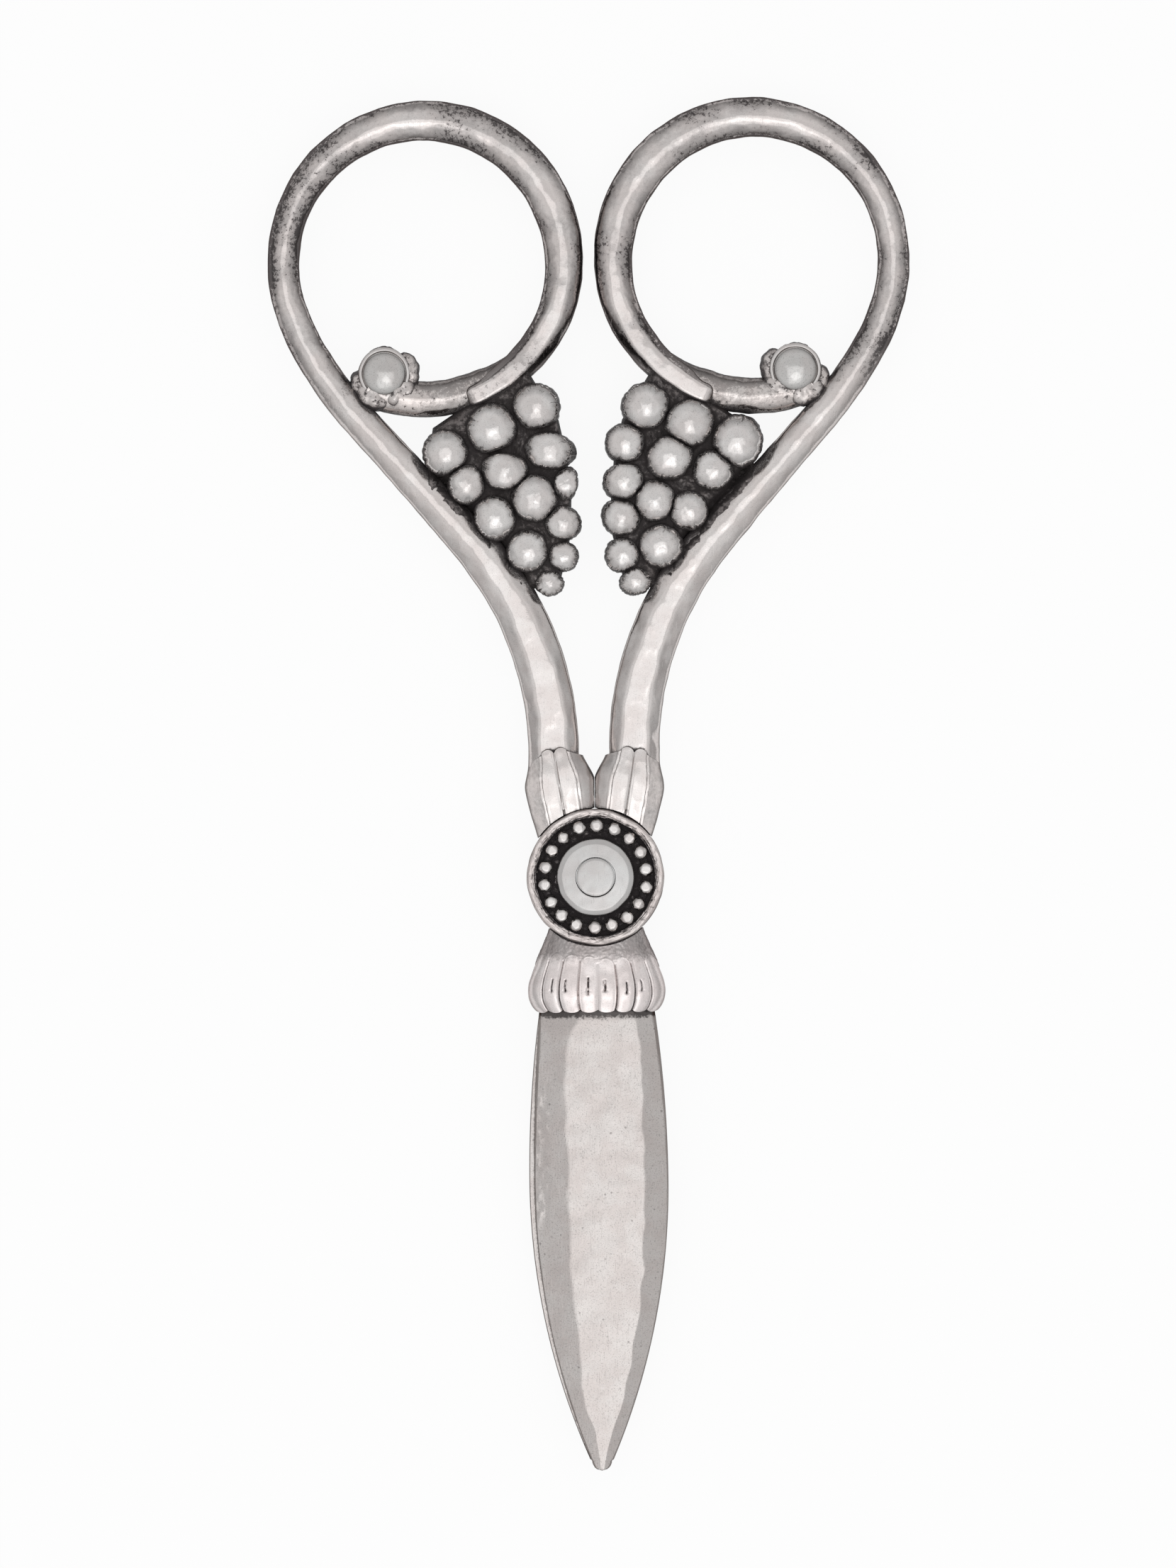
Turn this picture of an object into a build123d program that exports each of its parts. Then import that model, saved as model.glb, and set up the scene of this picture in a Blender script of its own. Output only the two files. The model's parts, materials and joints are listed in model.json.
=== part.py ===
from build123d import *
import os
from math import atan2, cos, degrees, radians, sin, tan

# Grape shears: two silver levers half-lapped on one rivet. Each lever is a finger ring on a
# curved stem, a tendril with a berry, a bunch of grapes, a fluted ferrule, a round boss with a
# ring of beads, a fluted collar and a leaf-shaped blade.
#
# Frame: millimetres, +Z up. The shears lie flat and closed, the rivet stands on the origin, the
# handles point along +Y and the blades along -Y. Z = 0 is the plane that they rest on.
# Every piece of the right lever is modelled; the left lever is the same lever turned half a turn
# about the long axis, so that its half-lap comes underneath.

os.makedirs("parts", exist_ok=True)

# Pivot stack, from the plane between the levers outwards
eye_gap = 0.08
eye_thickness = 2.2
eye_radius = 7.9
plate_thickness = 0.5
washer_height = 1.22
washer_play = 0.04
washer_radius = 4.6
washer_bevel = 0.4
rivet_radius = 2.3
rivet_clearance = 0.05
rivet_end_bevel = 0.15
boss_radius = 8.17
boss_clearance = 0.15
rim_width = 0.85
rim_height = 0.95
rim_round = 0.25
bead_radius = 0.74
bead_circle_radius = 6.1
bead_count = 18
bead_sink = 0.25
bead_turn = 8.0
bead_wire_width = 0.9
bead_wire_height = 0.35

# Centre line of the rod, from the foot of the stem to the tail of the finger ring
stem_offset = 4.85
stem_foot = 12.8
foot_length = 2.2
bend_radius = 38.5
stem_lean = 41.8
shoulder_radius = 41.2
shoulder_lean = 20.0
ring_radius = 16.8
ring_gap = 1.6
loop_top_turn = 110.0
loop_inner_turn = 118.0
tail_radius = 21.2
tail_turn = 35.5

# Rod sizes, each as width across the flat of the shears and depth through it
stem_width = 6.2
stem_depth = 4.5
run_width = 5.2
run_depth = 4.3
neck_width = 4.0
neck_depth = 3.9
crown_width = 4.85
crown_depth = 4.2
flank_width = 4.4
flank_depth = 4.4
tail_width = 3.3
tail_depth = 3.4
tail_nose = 0.5

# Tendril inside the foot of the finger ring
tendril_inset = 0.1
tendril_start_angle = 206.0
tendril_full_angle = 246.0
tendril_end_angle = 296.0
tendril_start_width = 1.8
tendril_width = 4.4
tendril_depth = 3.8

# Berry at the end of the tendril and its calyx
berry_radius = 2.75
berry_angle = 289.6
berry_inset = 2.35
cup_wall = 0.3
cup_height = 2.6
calyx_ring_width = 0.3
calyx_ring_height = 1.7
petal_count = 5
petal_radius = 1.5
petal_height = 2.2
petal_reach = 2.2
petal_turn = 16.0

# Bunch of grapes between the finger ring and the stem
bunch_gap = 3.8
core_height = 2.6

# Ferrule where the stem meets the pivot
mouth_height = 15.5
ferrule_lean = 9.0
ferrule_length = 12.5
ferrule_mouth_width = 6.7
ferrule_mouth_depth = 5.0
ferrule_belly_width = 8.6
ferrule_belly_depth = 6.6
ferrule_waist_width = 8.0
ferrule_waist_depth = 6.2
ferrule_end_width = 6.6
ferrule_end_depth = 5.2
ferrule_notch_radius = 0.5
tang_width = 3.6
tang_length = 12.2
stop_gap = 0.12

# Blade
shank_width = 8.2
shoulder_drop = 16.2
shoulder_half_width = 6.85
belly_drop = 36.5
edge_half_width = 8.35
edge_overhang = 0.6
apex_drop = 73.0
tip_radius = 1.2
blade_tuck = 0.7
crown_thickness = 2.35
tip_thickness = 1.15
dome_radius = 34.0
edge_thickness = 0.4
edge_bevel_lean = 22.0

# Collar over the shank of the blade
collar_start = 4.0
collar_neck_half_width = 5.3
collar_neck_height = 2.75
collar_mid_drop = 11.4
collar_mid_half_width = 7.8
collar_mid_height = 3.25
collar_belly_drop = 14.2
collar_belly_half_width = 8.2
collar_belly_height = 3.55
collar_lip_half_width = 7.4
collar_lip_height = 3.2
collar_notch_radius = 0.42

# Shares
lobe_sagitta_share = 0.17
neck_sagitta_share = 0.05
superellipse_power = 2.6
bend_ease = 2.0
turn_per_station = 20.0
# Valleys between the flutes, of the half width
ferrule_valley_shares = (1.0, 0.52, 0.0)
collar_valley_shares = (1.0, 0.8, 0.575, 0.29, 0.0)
# Belly and waist along the ferrule
ferrule_belly_share = 0.32
ferrule_waist_share = 0.6
# Top and width of the bunch, of the ring's radius, its toe along the bend, and the largest
# grape's radius, of the width
bunch_top_share = 0.9
bunch_width_share = 1.125
bunch_toe_share = 0.7
grape_share = 0.1455
# Corners of the bunch's core, across and down, and along the run and the tail
core_toe_shares = (0.10, 0.93)
core_tip_shares = (0.90, 0.20)
core_side_shares = (
    (0.10, 0.17),
    (0.045, 0.36),
    (0.025, 0.54),
    (0.03, 0.71),
    (0.09, 0.90),
)
core_run_share = 0.42
core_tail_shares = (0.85, 0.4)
# Each grape on one face: place across, place down, radius of the largest
upper_grape_shares = (
    (0.252, 0.109, 0.93),
    (0.527, 0.193, 0.96),
    (0.829, 0.281, 1.00),
    (0.120, 0.283, 0.75),
    (0.401, 0.354, 0.95),
    (0.672, 0.414, 0.80),
    (0.108, 0.463, 0.75),
    (0.302, 0.556, 0.82),
    (0.516, 0.605, 0.75),
    (0.090, 0.633, 0.73),
    (0.336, 0.770, 0.84),
    (0.094, 0.811, 0.66),
    (0.175, 0.938, 0.55),
)
lower_grape_shares = (
    (0.243, 0.107, 0.90),
    (0.525, 0.208, 0.96),
    (0.820, 0.320, 0.86),
    (0.163, 0.315, 0.86),
    (0.448, 0.410, 0.87),
    (0.690, 0.467, 0.75),
    (0.260, 0.539, 0.95),
    (0.060, 0.472, 0.58),
    (0.511, 0.629, 0.86),
    (0.082, 0.656, 0.67),
    (0.305, 0.787, 0.82),
    (0.080, 0.815, 0.58),
    (0.169, 0.941, 0.50),
)

# Heights above the plane between the levers
eye_floor = eye_gap / 2
eye_top = eye_floor + eye_thickness
plate_top = eye_top + plate_thickness
half_thickness = plate_top + washer_height

mid_plane = Plane.XY.offset(half_thickness)
pivot_axis = Axis((0, 0, 0), (0, 0, 1))
long_axis = Axis((0, 0, half_thickness), (0, 1, 0))
swing_radius = boss_radius + boss_clearance


def polar(radius, angle):
    """The point at that radius and angle, in degrees, about the origin of a sketch."""
    return Vector(radius * cos(radians(angle)), radius * sin(radians(angle)))


def in_mid_plane(point, height=0.0):
    """The same point of the outline, at a height above the plane between the levers."""
    return Vector(point.X, point.Y, half_thickness + height)


def flat(point):
    """The same point in the coordinates of a sketch on the mid plane."""
    return Vector(point.X, point.Y)


def square_to(path, share):
    """The plane square to a path in the mid plane, with its own Y along +Z."""
    heading = path % share
    return Plane(origin=path @ share, x_dir=(heading.Y, -heading.X, 0), z_dir=-heading)


def stations(path, start, end, count, ease=1.0):
    """The sketch plane, width and depth of a rod at even steps after the start of a path."""
    places = []
    for step in range(1, count + 1):
        share = step / count
        width, depth = (a + (b - a) * share**ease for a, b in zip(start, end))
        places.append((square_to(path, share), width, depth))
    return places


def steps_for(turn):
    """How many stations a turn of that many degrees gets."""
    return max(2, round(turn / turn_per_station))


def valleys(half_width, height, shares):
    """Valleys of a fluted profile, from its right side over the top to its left side."""
    right = [
        (half_width * s, height * (1 - s**superellipse_power) ** (1 / superellipse_power))
        for s in shares
    ]
    return right + [(-x, y) for x, y in reversed(right[:-1])]


def flutes(points, sagitta_share):
    """One outward arc from each valley to the next, for points given anticlockwise."""
    for start, end in zip(points, points[1:]):
        SagittaArc(start, end, -sagitta_share * (Vector(*end) - Vector(*start)).length)


# The straight run is as long as brings the two rings within their gap
lean_cos = cos(radians(stem_lean))
shoulder_cos = cos(radians(shoulder_lean))
ring_reach = (ring_gap + flank_width) / 2 + ring_radius * (1 + shoulder_cos)
bend_reach = bend_radius * (1 - lean_cos) + shoulder_radius * (shoulder_cos - lean_cos)
run_length = (ring_reach - stem_offset - bend_reach) / sin(radians(stem_lean))

# Centre line of the arm
with BuildLine(mid_plane) as arm_line:
    foot = Line((stem_offset, stem_foot), (stem_offset, stem_foot + foot_length))
    bend = JernArc(start=foot @ 1, tangent=foot % 1, radius=bend_radius, arc_size=-stem_lean)
    run = Line(bend @ 1, bend @ 1 + (bend % 1) * run_length)
    shoulder = JernArc(
        start=run @ 1, tangent=run % 1, radius=shoulder_radius, arc_size=stem_lean - shoulder_lean
    )
    loop_top = JernArc(
        start=shoulder @ 1, tangent=shoulder % 1, radius=ring_radius, arc_size=loop_top_turn
    )
    loop_inner = JernArc(
        start=loop_top @ 1, tangent=loop_top % 1, radius=ring_radius, arc_size=loop_inner_turn
    )
    tail = JernArc(
        start=loop_inner @ 1, tangent=loop_inner % 1, radius=tail_radius, arc_size=tail_turn
    )

ring_centre = flat(loop_top.arc_center)

# Arm: stem and finger ring, one forged rod
stem_size = (stem_width, stem_depth)
run_size = (run_width, run_depth)
neck_size = (neck_width, neck_depth)
crown_size = (crown_width, crown_depth)
flank_size = (flank_width, flank_depth)
tail_size = (tail_width, tail_depth)
arm_stations = [(square_to(foot, 0), *stem_size)]
arm_stations += stations(foot, stem_size, stem_size, 1)
arm_stations += stations(bend, stem_size, run_size, 4, bend_ease)
arm_stations += stations(run, run_size, neck_size, 2)
arm_stations += stations(shoulder, neck_size, neck_size, 2)
arm_stations += stations(loop_top, neck_size, crown_size, steps_for(loop_top_turn))
arm_stations += stations(loop_inner, crown_size, flank_size, steps_for(loop_inner_turn))
arm_stations += stations(tail, flank_size, tail_size, 3)
with BuildPart() as arm:
    for plane, width, depth in arm_stations:
        with BuildSketch(plane):
            Ellipse(width / 2, depth / 2)
    loft()
    tail_face = arm.faces().sort_by_distance(tail @ 1)[0]
    fillet(tail_face.edges(), tail_nose)

# Berry at the end of the tendril
berry_centre = ring_centre + polar(ring_radius - berry_inset, berry_angle)
cup_radius = berry_radius + cup_wall
with BuildPart() as berry:
    with Locations(in_mid_plane(berry_centre)):
        Sphere(berry_radius)

# Calyx: a cup round the berry with a ring of petals
with BuildPart() as calyx:
    with Locations(in_mid_plane(berry_centre)):
        Cylinder(cup_radius, cup_height)
        Cylinder(cup_radius + calyx_ring_width, calyx_ring_height)
    for petal in range(petal_count):
        petal_angle = petal_turn + petal * 360 / petal_count
        petal_centre = in_mid_plane(berry_centre + polar(petal_reach, petal_angle))
        with BuildSketch(Plane(petal_centre, x_dir=(1, 0, 0), z_dir=(0, -1, 0))):
            Ellipse(petal_radius, petal_height / 2)
            with Locations((-petal_radius, 0)):
                Rectangle(2 * petal_radius, 2 * petal_height, mode=Mode.SUBTRACT)
        revolve(axis=Axis(petal_centre, (0, 0, 1)))
    add(berry.part, mode=Mode.SUBTRACT)
    add(arm.part, mode=Mode.SUBTRACT)

# Tendril: a thin wedge beside the tail that swells to the size of the ring
tendril_radius = ring_radius - tendril_inset
tendril_grow = tendril_full_angle - tendril_start_angle
tendril_rest = tendril_end_angle - tendril_full_angle
tendril_start_size = (tendril_start_width, tendril_start_width)
tendril_size = (tendril_width, tendril_depth)
with BuildLine(mid_plane) as tendril_line:
    centre = (ring_centre.X, ring_centre.Y)
    wedge = CenterArc(centre, tendril_radius, tendril_start_angle, tendril_grow)
    vine = CenterArc(centre, tendril_radius, tendril_full_angle, tendril_rest)
tendril_stations = [(square_to(wedge, 0), *tendril_start_size)]
tendril_stations += stations(wedge, tendril_start_size, tendril_size, 3)
tendril_stations += stations(vine, tendril_size, tendril_size, 4)
with BuildPart() as tendril:
    for plane, width, depth in tendril_stations:
        with BuildSketch(plane):
            Ellipse(width / 2, depth / 2)
    loft()
    add(arm.part, mode=Mode.SUBTRACT)
    add(berry.part, mode=Mode.SUBTRACT)
    add(calyx.part, mode=Mode.SUBTRACT)

# Bunch of grapes: one casting, a core with grapes on both faces
bunch_corner = Vector(bunch_gap / 2, ring_centre.Y - ring_radius * bunch_top_share)
bunch_width = ring_radius * bunch_width_share
grape_radius = bunch_width * grape_share
bunch_toe = flat(bend @ bunch_toe_share)
bunch_height = bunch_corner.Y - bunch_toe.Y


def in_bunch(across_share, down_share):
    """The point that far across and down from the inner top corner of the bunch."""
    return bunch_corner + Vector(bunch_width * across_share, -bunch_height * down_share)


grape_lift = half_thickness - grape_radius
with BuildPart() as grape_cluster:
    with BuildSketch(mid_plane.offset(-core_height / 2)):
        with BuildLine():
            Polyline(
                in_bunch(*core_toe_shares),
                bunch_toe,
                flat(run @ 0),
                flat(run @ core_run_share),
                in_bunch(*core_tip_shares),
                *(flat(tail @ share) for share in core_tail_shares),
                *(in_bunch(*shares) for shares in core_side_shares),
                close=True,
            )
        make_face()
    extrude(amount=core_height)
    for shares, side in ((upper_grape_shares, 1), (lower_grape_shares, -1)):
        for across_share, down_share, radius_share in shares:
            with Locations(in_mid_plane(in_bunch(across_share, down_share), side * grape_lift)):
                Sphere(grape_radius * radius_share)
    add(arm.part, mode=Mode.SUBTRACT)
    add(tendril.part, mode=Mode.SUBTRACT)

# Blade: eye, tang, shank and leaf, one forging
mouth = Vector(stem_offset, mouth_height)
ferrule_heading = Vector(-sin(radians(ferrule_lean)), -cos(radians(ferrule_lean)))
tang_aim = mouth + ferrule_heading * (ferrule_length / 2)
tang_angle = degrees(atan2(tang_aim.Y, tang_aim.X))
back_half_width = edge_half_width - edge_overhang
leaf_top = blade_tuck - shoulder_drop
bevel_slope = tan(radians(edge_bevel_lean))
bevel_rise = eye_thickness
bevel_width = bevel_rise / bevel_slope
belly_point = Vector(edge_half_width, -belly_drop)


def edge_radius(side_step, length_step):
    """Radius of the arc that leaves the belly lengthwise and ends that far in and along."""
    return (side_step**2 + length_step**2) / (2 * side_step)


lower_edge_radius = edge_radius(edge_half_width, apex_drop - belly_drop)
upper_edge_radius = edge_radius(edge_half_width - shoulder_half_width, belly_drop + leaf_top)
with BuildPart() as blade:
    with BuildSketch(mid_plane.offset(eye_floor)):
        with BuildLine():
            Line((-shoulder_half_width, leaf_top), (shoulder_half_width, leaf_top))
            for half_width in (edge_half_width, -back_half_width):
                side = half_width / abs(half_width)
                belly = (half_width, -belly_drop)
                TangentArc(belly, (side * shoulder_half_width, leaf_top), tangent=(0, 1))
                TangentArc(belly, (0, -apex_drop), tangent=(0, -1))
        leaf = make_face()
        fillet(leaf.vertices().sort_by(Axis.Y)[0], tip_radius)
    extrude(amount=2 * eye_thickness)
    # Crown that rounds across the leaf and falls from the shoulder to the tip
    fall = degrees(atan2(crown_thickness - tip_thickness, apex_drop - shoulder_drop))
    crown_height = half_thickness + eye_floor + crown_thickness
    dome_plane = Plane(
        origin=(0, -shoulder_drop, crown_height - dome_radius),
        x_dir=(1, 0, 0),
        z_dir=(0, -cos(radians(fall)), -sin(radians(fall))),
    )
    with BuildSketch(dome_plane):
        Circle(dome_radius)
    extrude(amount=apex_drop, both=True, mode=Mode.INTERSECT)
    # Ground bevel along the cutting edge, below and above the belly
    for radius, turn_direction, arc in ((lower_edge_radius, -1, 60), (upper_edge_radius, 1, 20)):
        with BuildSketch(Plane(in_mid_plane(belly_point), x_dir=(1, 0, 0), z_dir=(0, -1, 0))):
            with BuildLine():
                Polyline(
                    (bevel_width, edge_thickness - bevel_rise),
                    (bevel_width, edge_thickness + bevel_rise),
                    (-bevel_width, edge_thickness + bevel_rise),
                    close=True,
                )
            make_face()
        arc_centre = in_mid_plane(belly_point - Vector(radius, 0))
        revolve(
            axis=Axis(arc_centre, (0, 0, turn_direction)),
            revolution_arc=arc,
            mode=Mode.SUBTRACT,
        )
    # Eye, shank and tang of one thickness
    with BuildSketch(mid_plane.offset(eye_floor)):
        Circle(eye_radius)
        with Locations((0, leaf_top / 2)):
            Rectangle(shank_width, -leaf_top)
        with Locations(polar(tang_length / 2, tang_angle)):
            Rectangle(tang_length, tang_width, rotation=tang_angle)
        Circle(rivet_radius + rivet_clearance, mode=Mode.SUBTRACT)
    extrude(amount=eye_thickness)

# Ferrule: fluted all round, hollowed to swing round the boss, flat where the two levers stop
ferrule_sections = (
    (0, ferrule_mouth_width, ferrule_mouth_depth),
    (ferrule_belly_share, ferrule_belly_width, ferrule_belly_depth),
    (ferrule_waist_share, ferrule_waist_width, ferrule_waist_depth),
    (1, ferrule_end_width, ferrule_end_depth),
)
ferrule_across = Vector(cos(radians(ferrule_lean)), -sin(radians(ferrule_lean)))
notches = [-s for s in ferrule_valley_shares[:-1]] + list(ferrule_valley_shares)
with BuildPart() as ferrule:
    for share, width, depth in ferrule_sections:
        centre = in_mid_plane(mouth + ferrule_heading * (ferrule_length * share))
        with BuildSketch(Plane(centre, x_dir=ferrule_across, z_dir=ferrule_heading)):
            with BuildLine():
                over = valleys(width / 2, depth / 2, ferrule_valley_shares)
                flutes(over, lobe_sagitta_share)
                flutes([(-x, -y) for x, y in over], lobe_sagitta_share)
            make_face()
    loft()
    for share in notches:
        with Locations(in_mid_plane(mouth + ferrule_across * (share * ferrule_mouth_width / 2))):
            Cylinder(ferrule_notch_radius, 2 * half_thickness, mode=Mode.SUBTRACT)
    with BuildSketch(Plane.XY):
        Circle(swing_radius)
        with Locations((stop_gap / 2 - ferrule_length, 0)):
            Rectangle(2 * ferrule_length, 4 * ferrule_length)
    extrude(amount=2 * half_thickness, mode=Mode.SUBTRACT)
    add(blade.part, mode=Mode.SUBTRACT)
    add(arm.part, mode=Mode.SUBTRACT)

# Collar: a fluted skirt over the shank, on the outer side only
collar_sections = (
    (collar_start, collar_neck_half_width, collar_neck_height, neck_sagitta_share),
    (collar_mid_drop, collar_mid_half_width, collar_mid_height, lobe_sagitta_share),
    (collar_belly_drop, collar_belly_half_width, collar_belly_height, lobe_sagitta_share),
    (shoulder_drop, collar_lip_half_width, collar_lip_height, lobe_sagitta_share),
)
with BuildPart() as collar:
    for drop, half_width, height, sagitta_share in collar_sections:
        floor = (0, -drop, half_thickness + eye_floor)
        with BuildSketch(Plane(floor, x_dir=(1, 0, 0), z_dir=(0, -1, 0))):
            with BuildLine():
                Line((-half_width, 0), (half_width, 0))
                flutes(valleys(half_width, height, collar_valley_shares), sagitta_share)
            make_face()
    loft()
    for share in collar_valley_shares:
        for side in (1, -1):
            with Locations((side * share * collar_lip_half_width, -shoulder_drop, half_thickness)):
                Cylinder(collar_notch_radius, 2 * half_thickness, mode=Mode.SUBTRACT)
    with BuildSketch(Plane.XY):
        Circle(swing_radius)
    extrude(amount=2 * half_thickness, mode=Mode.SUBTRACT)
    add(blade.part, mode=Mode.SUBTRACT)

# Boss: a shallow pan on the eye
with BuildPart() as boss:
    with BuildSketch(mid_plane.offset(eye_top)):
        Circle(boss_radius)
        Circle(rivet_radius + rivet_clearance, mode=Mode.SUBTRACT)
    extrude(amount=plate_thickness)
    with BuildSketch(mid_plane.offset(plate_top)):
        Circle(boss_radius)
        Circle(boss_radius - rim_width, mode=Mode.SUBTRACT)
    extrude(amount=rim_height)
    fillet(boss.faces().sort_by(Axis.Z)[-1].edges(), rim_round)

# Bead ring: beads on one thin wire, seated in the pan
with BuildPart() as bead_ring:
    with BuildSketch(mid_plane.offset(plate_top)):
        Circle(bead_circle_radius + bead_wire_width / 2)
        Circle(bead_circle_radius - bead_wire_width / 2, mode=Mode.SUBTRACT)
    extrude(amount=bead_wire_height)
    bead_height = half_thickness + plate_top + bead_radius - bead_sink
    with Locations((0, 0, bead_height)):
        with PolarLocations(bead_circle_radius, bead_count, start_angle=bead_turn):
            Sphere(bead_radius)
    add(boss.part, mode=Mode.SUBTRACT)


def washer_above(seat):
    """The centre washer, from its seat to the outer face of the pivot."""
    with BuildPart() as washer:
        with BuildSketch(mid_plane.offset(seat)):
            Circle(washer_radius)
            Circle(rivet_radius, mode=Mode.SUBTRACT)
        extrude(amount=half_thickness - seat)
        outer_rim = washer.edges().filter_by(GeomType.CIRCLE).group_by(Axis.Z)[-1]
        chamfer(outer_rim.sort_by(SortBy.RADIUS)[-1], washer_bevel)
    return washer.part


# Rivet: a plain pin from washer to washer
with BuildPart() as rivet:
    with Locations((0, 0, half_thickness)):
        Cylinder(rivet_radius, 2 * half_thickness)
    chamfer(rivet.edges().filter_by(GeomType.CIRCLE), rivet_end_bevel)


def save(part, name):
    """Write one piece under its name."""
    part.label = name
    export_step(part, f"parts/{name}.step")


lever = {
    "arm": arm,
    "tendril": tendril,
    "berry": berry,
    "calyx": calyx,
    "grape_cluster": grape_cluster,
    "ferrule": ferrule,
    "blade": blade,
    "collar": collar,
}
for name, piece in lever.items():
    save(piece.part, f"right_{name}")
    save(piece.part.rotate(long_axis, 180), f"left_{name}")
for name, piece in {"boss": boss, "bead_ring": bead_ring}.items():
    save(piece.part, f"front_{name}")
    save(piece.part.rotate(long_axis, 180), f"back_{name}")
save(washer_above(plate_top), "front_washer")
save(washer_above(plate_top + washer_play).rotate(long_axis, 180), "back_washer")
save(rivet.part, "rivet")
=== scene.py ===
import json
from math import atan2, ceil, cos, exp, hypot, pi, radians, sin, sqrt

import bmesh
import bpy
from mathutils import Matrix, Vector, noise


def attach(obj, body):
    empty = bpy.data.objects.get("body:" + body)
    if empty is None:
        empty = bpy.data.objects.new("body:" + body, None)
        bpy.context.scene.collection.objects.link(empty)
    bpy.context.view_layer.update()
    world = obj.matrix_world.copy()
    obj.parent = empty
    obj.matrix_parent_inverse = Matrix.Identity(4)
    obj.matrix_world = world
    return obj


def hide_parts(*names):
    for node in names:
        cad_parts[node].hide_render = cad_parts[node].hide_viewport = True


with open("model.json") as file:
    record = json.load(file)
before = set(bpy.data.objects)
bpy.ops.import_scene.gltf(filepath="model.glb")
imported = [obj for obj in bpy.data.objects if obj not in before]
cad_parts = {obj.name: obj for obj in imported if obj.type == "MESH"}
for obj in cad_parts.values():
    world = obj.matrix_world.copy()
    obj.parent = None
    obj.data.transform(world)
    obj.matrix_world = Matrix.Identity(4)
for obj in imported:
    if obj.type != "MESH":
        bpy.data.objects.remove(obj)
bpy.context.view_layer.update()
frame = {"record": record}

MM = 0.001

# Millimetres, as in the CAD source; heights are from the plane where the levers lap
MID = 3.96
EYE_FLOOR = 0.04
EYE_TOP = 2.24
PLATE_TOP = 2.74
BOSS_RADIUS = 8.17
SWING_RADIUS = 8.32
RIVET_RADIUS = 2.3
BORE_RADIUS = RIVET_RADIUS + 0.05
WASHER_BORE = RIVET_RADIUS + 0.06
WASHER_RADIUS = 4.6
BEAD_CIRCLE = 6.1
BEAD_RADIUS = 0.74
BEAD_COUNT = 18
BEAD_TURN = 8.0
STEM_OFFSET = 4.85
STEM_FOOT = 12.8
FOOT_LENGTH = 2.2
BEND_RADIUS = 38.5
STEM_LEAN = 41.8
SHOULDER_RADIUS = 41.2
SHOULDER_LEAN = 20.0
RING_RADIUS = 16.8
RING_GAP = 1.6
LOOP_TOP_TURN = 110.0
LOOP_INNER_TURN = 118.0
TAIL_RADIUS = 21.2
TAIL_TURN = 37.5
FLANK_WIDTH = 4.4
MOUTH_HEIGHT = 15.5
FERRULE_LEAN = 9.0
FERRULE_LENGTH = 12.5
SHOULDER_DROP = 16.2
LEAF_TOP = -15.5

# The photograph: 1659 x 2212 pixels, straight down, turned a little to the left
PIXEL = 0.0851 * MM
FRAME_HEIGHT = 2212 * PIXEL
VIEW_CENTRE = Vector((-0.77 * MM, 11.16 * MM, 0.0))
ROLL = radians(0.65)
CAMERA_HEIGHT = 1.1
SENSOR = 36.0

# Name, place, aim, size and power of each lamp
LAMPS = (
    ("softbox", (0.0, -0.28, 0.9), (0.0, -0.28, 0.0), (0.80, 0.95), 0.95),
    ("softbox_core", (0.03, -0.26, 0.88), (0.0, -0.28, 0.0), (0.34, 0.40), 0.22),
)
# Grey of the room from the horizon to straight up
SKY = ((0.0, 0.36), (0.17, 0.51), (0.42, 0.69), (0.70, 0.90), (0.92, 0.84))
FLOOR_HALF = 4.0
FLOOR_LEVEL = -0.02 * MM
PAPER = 0.9
# How plain a white the floor is where it is seen or mirrored
PLAIN = 0.91


# Camera, light and floor
def linked(name, data):
    obj = bpy.data.objects.new(name, data)
    bpy.context.scene.collection.objects.link(obj)
    return obj


def make_camera():
    data = bpy.data.cameras.new("camera")
    data.sensor_fit = "VERTICAL"
    data.sensor_height = SENSOR
    data.lens = SENSOR * (CAMERA_HEIGHT - MID * MM) / FRAME_HEIGHT
    data.clip_start = 0.01
    data.clip_end = 20.0
    camera = linked("camera", data)
    camera.location = VIEW_CENTRE + Vector((0, 0, CAMERA_HEIGHT))
    camera.rotation_euler = (0, 0, -ROLL)
    bpy.context.scene.camera = camera


def area_light(name, at, aim, size, power):
    data = bpy.data.lights.new(name, "AREA")
    data.shape = "RECTANGLE"
    data.size, data.size_y = size
    data.energy = power
    light = linked(name, data)
    light.location = at
    light.rotation_euler = (Vector(aim) - Vector(at)).to_track_quat("-Z", "Y").to_euler()


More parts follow.
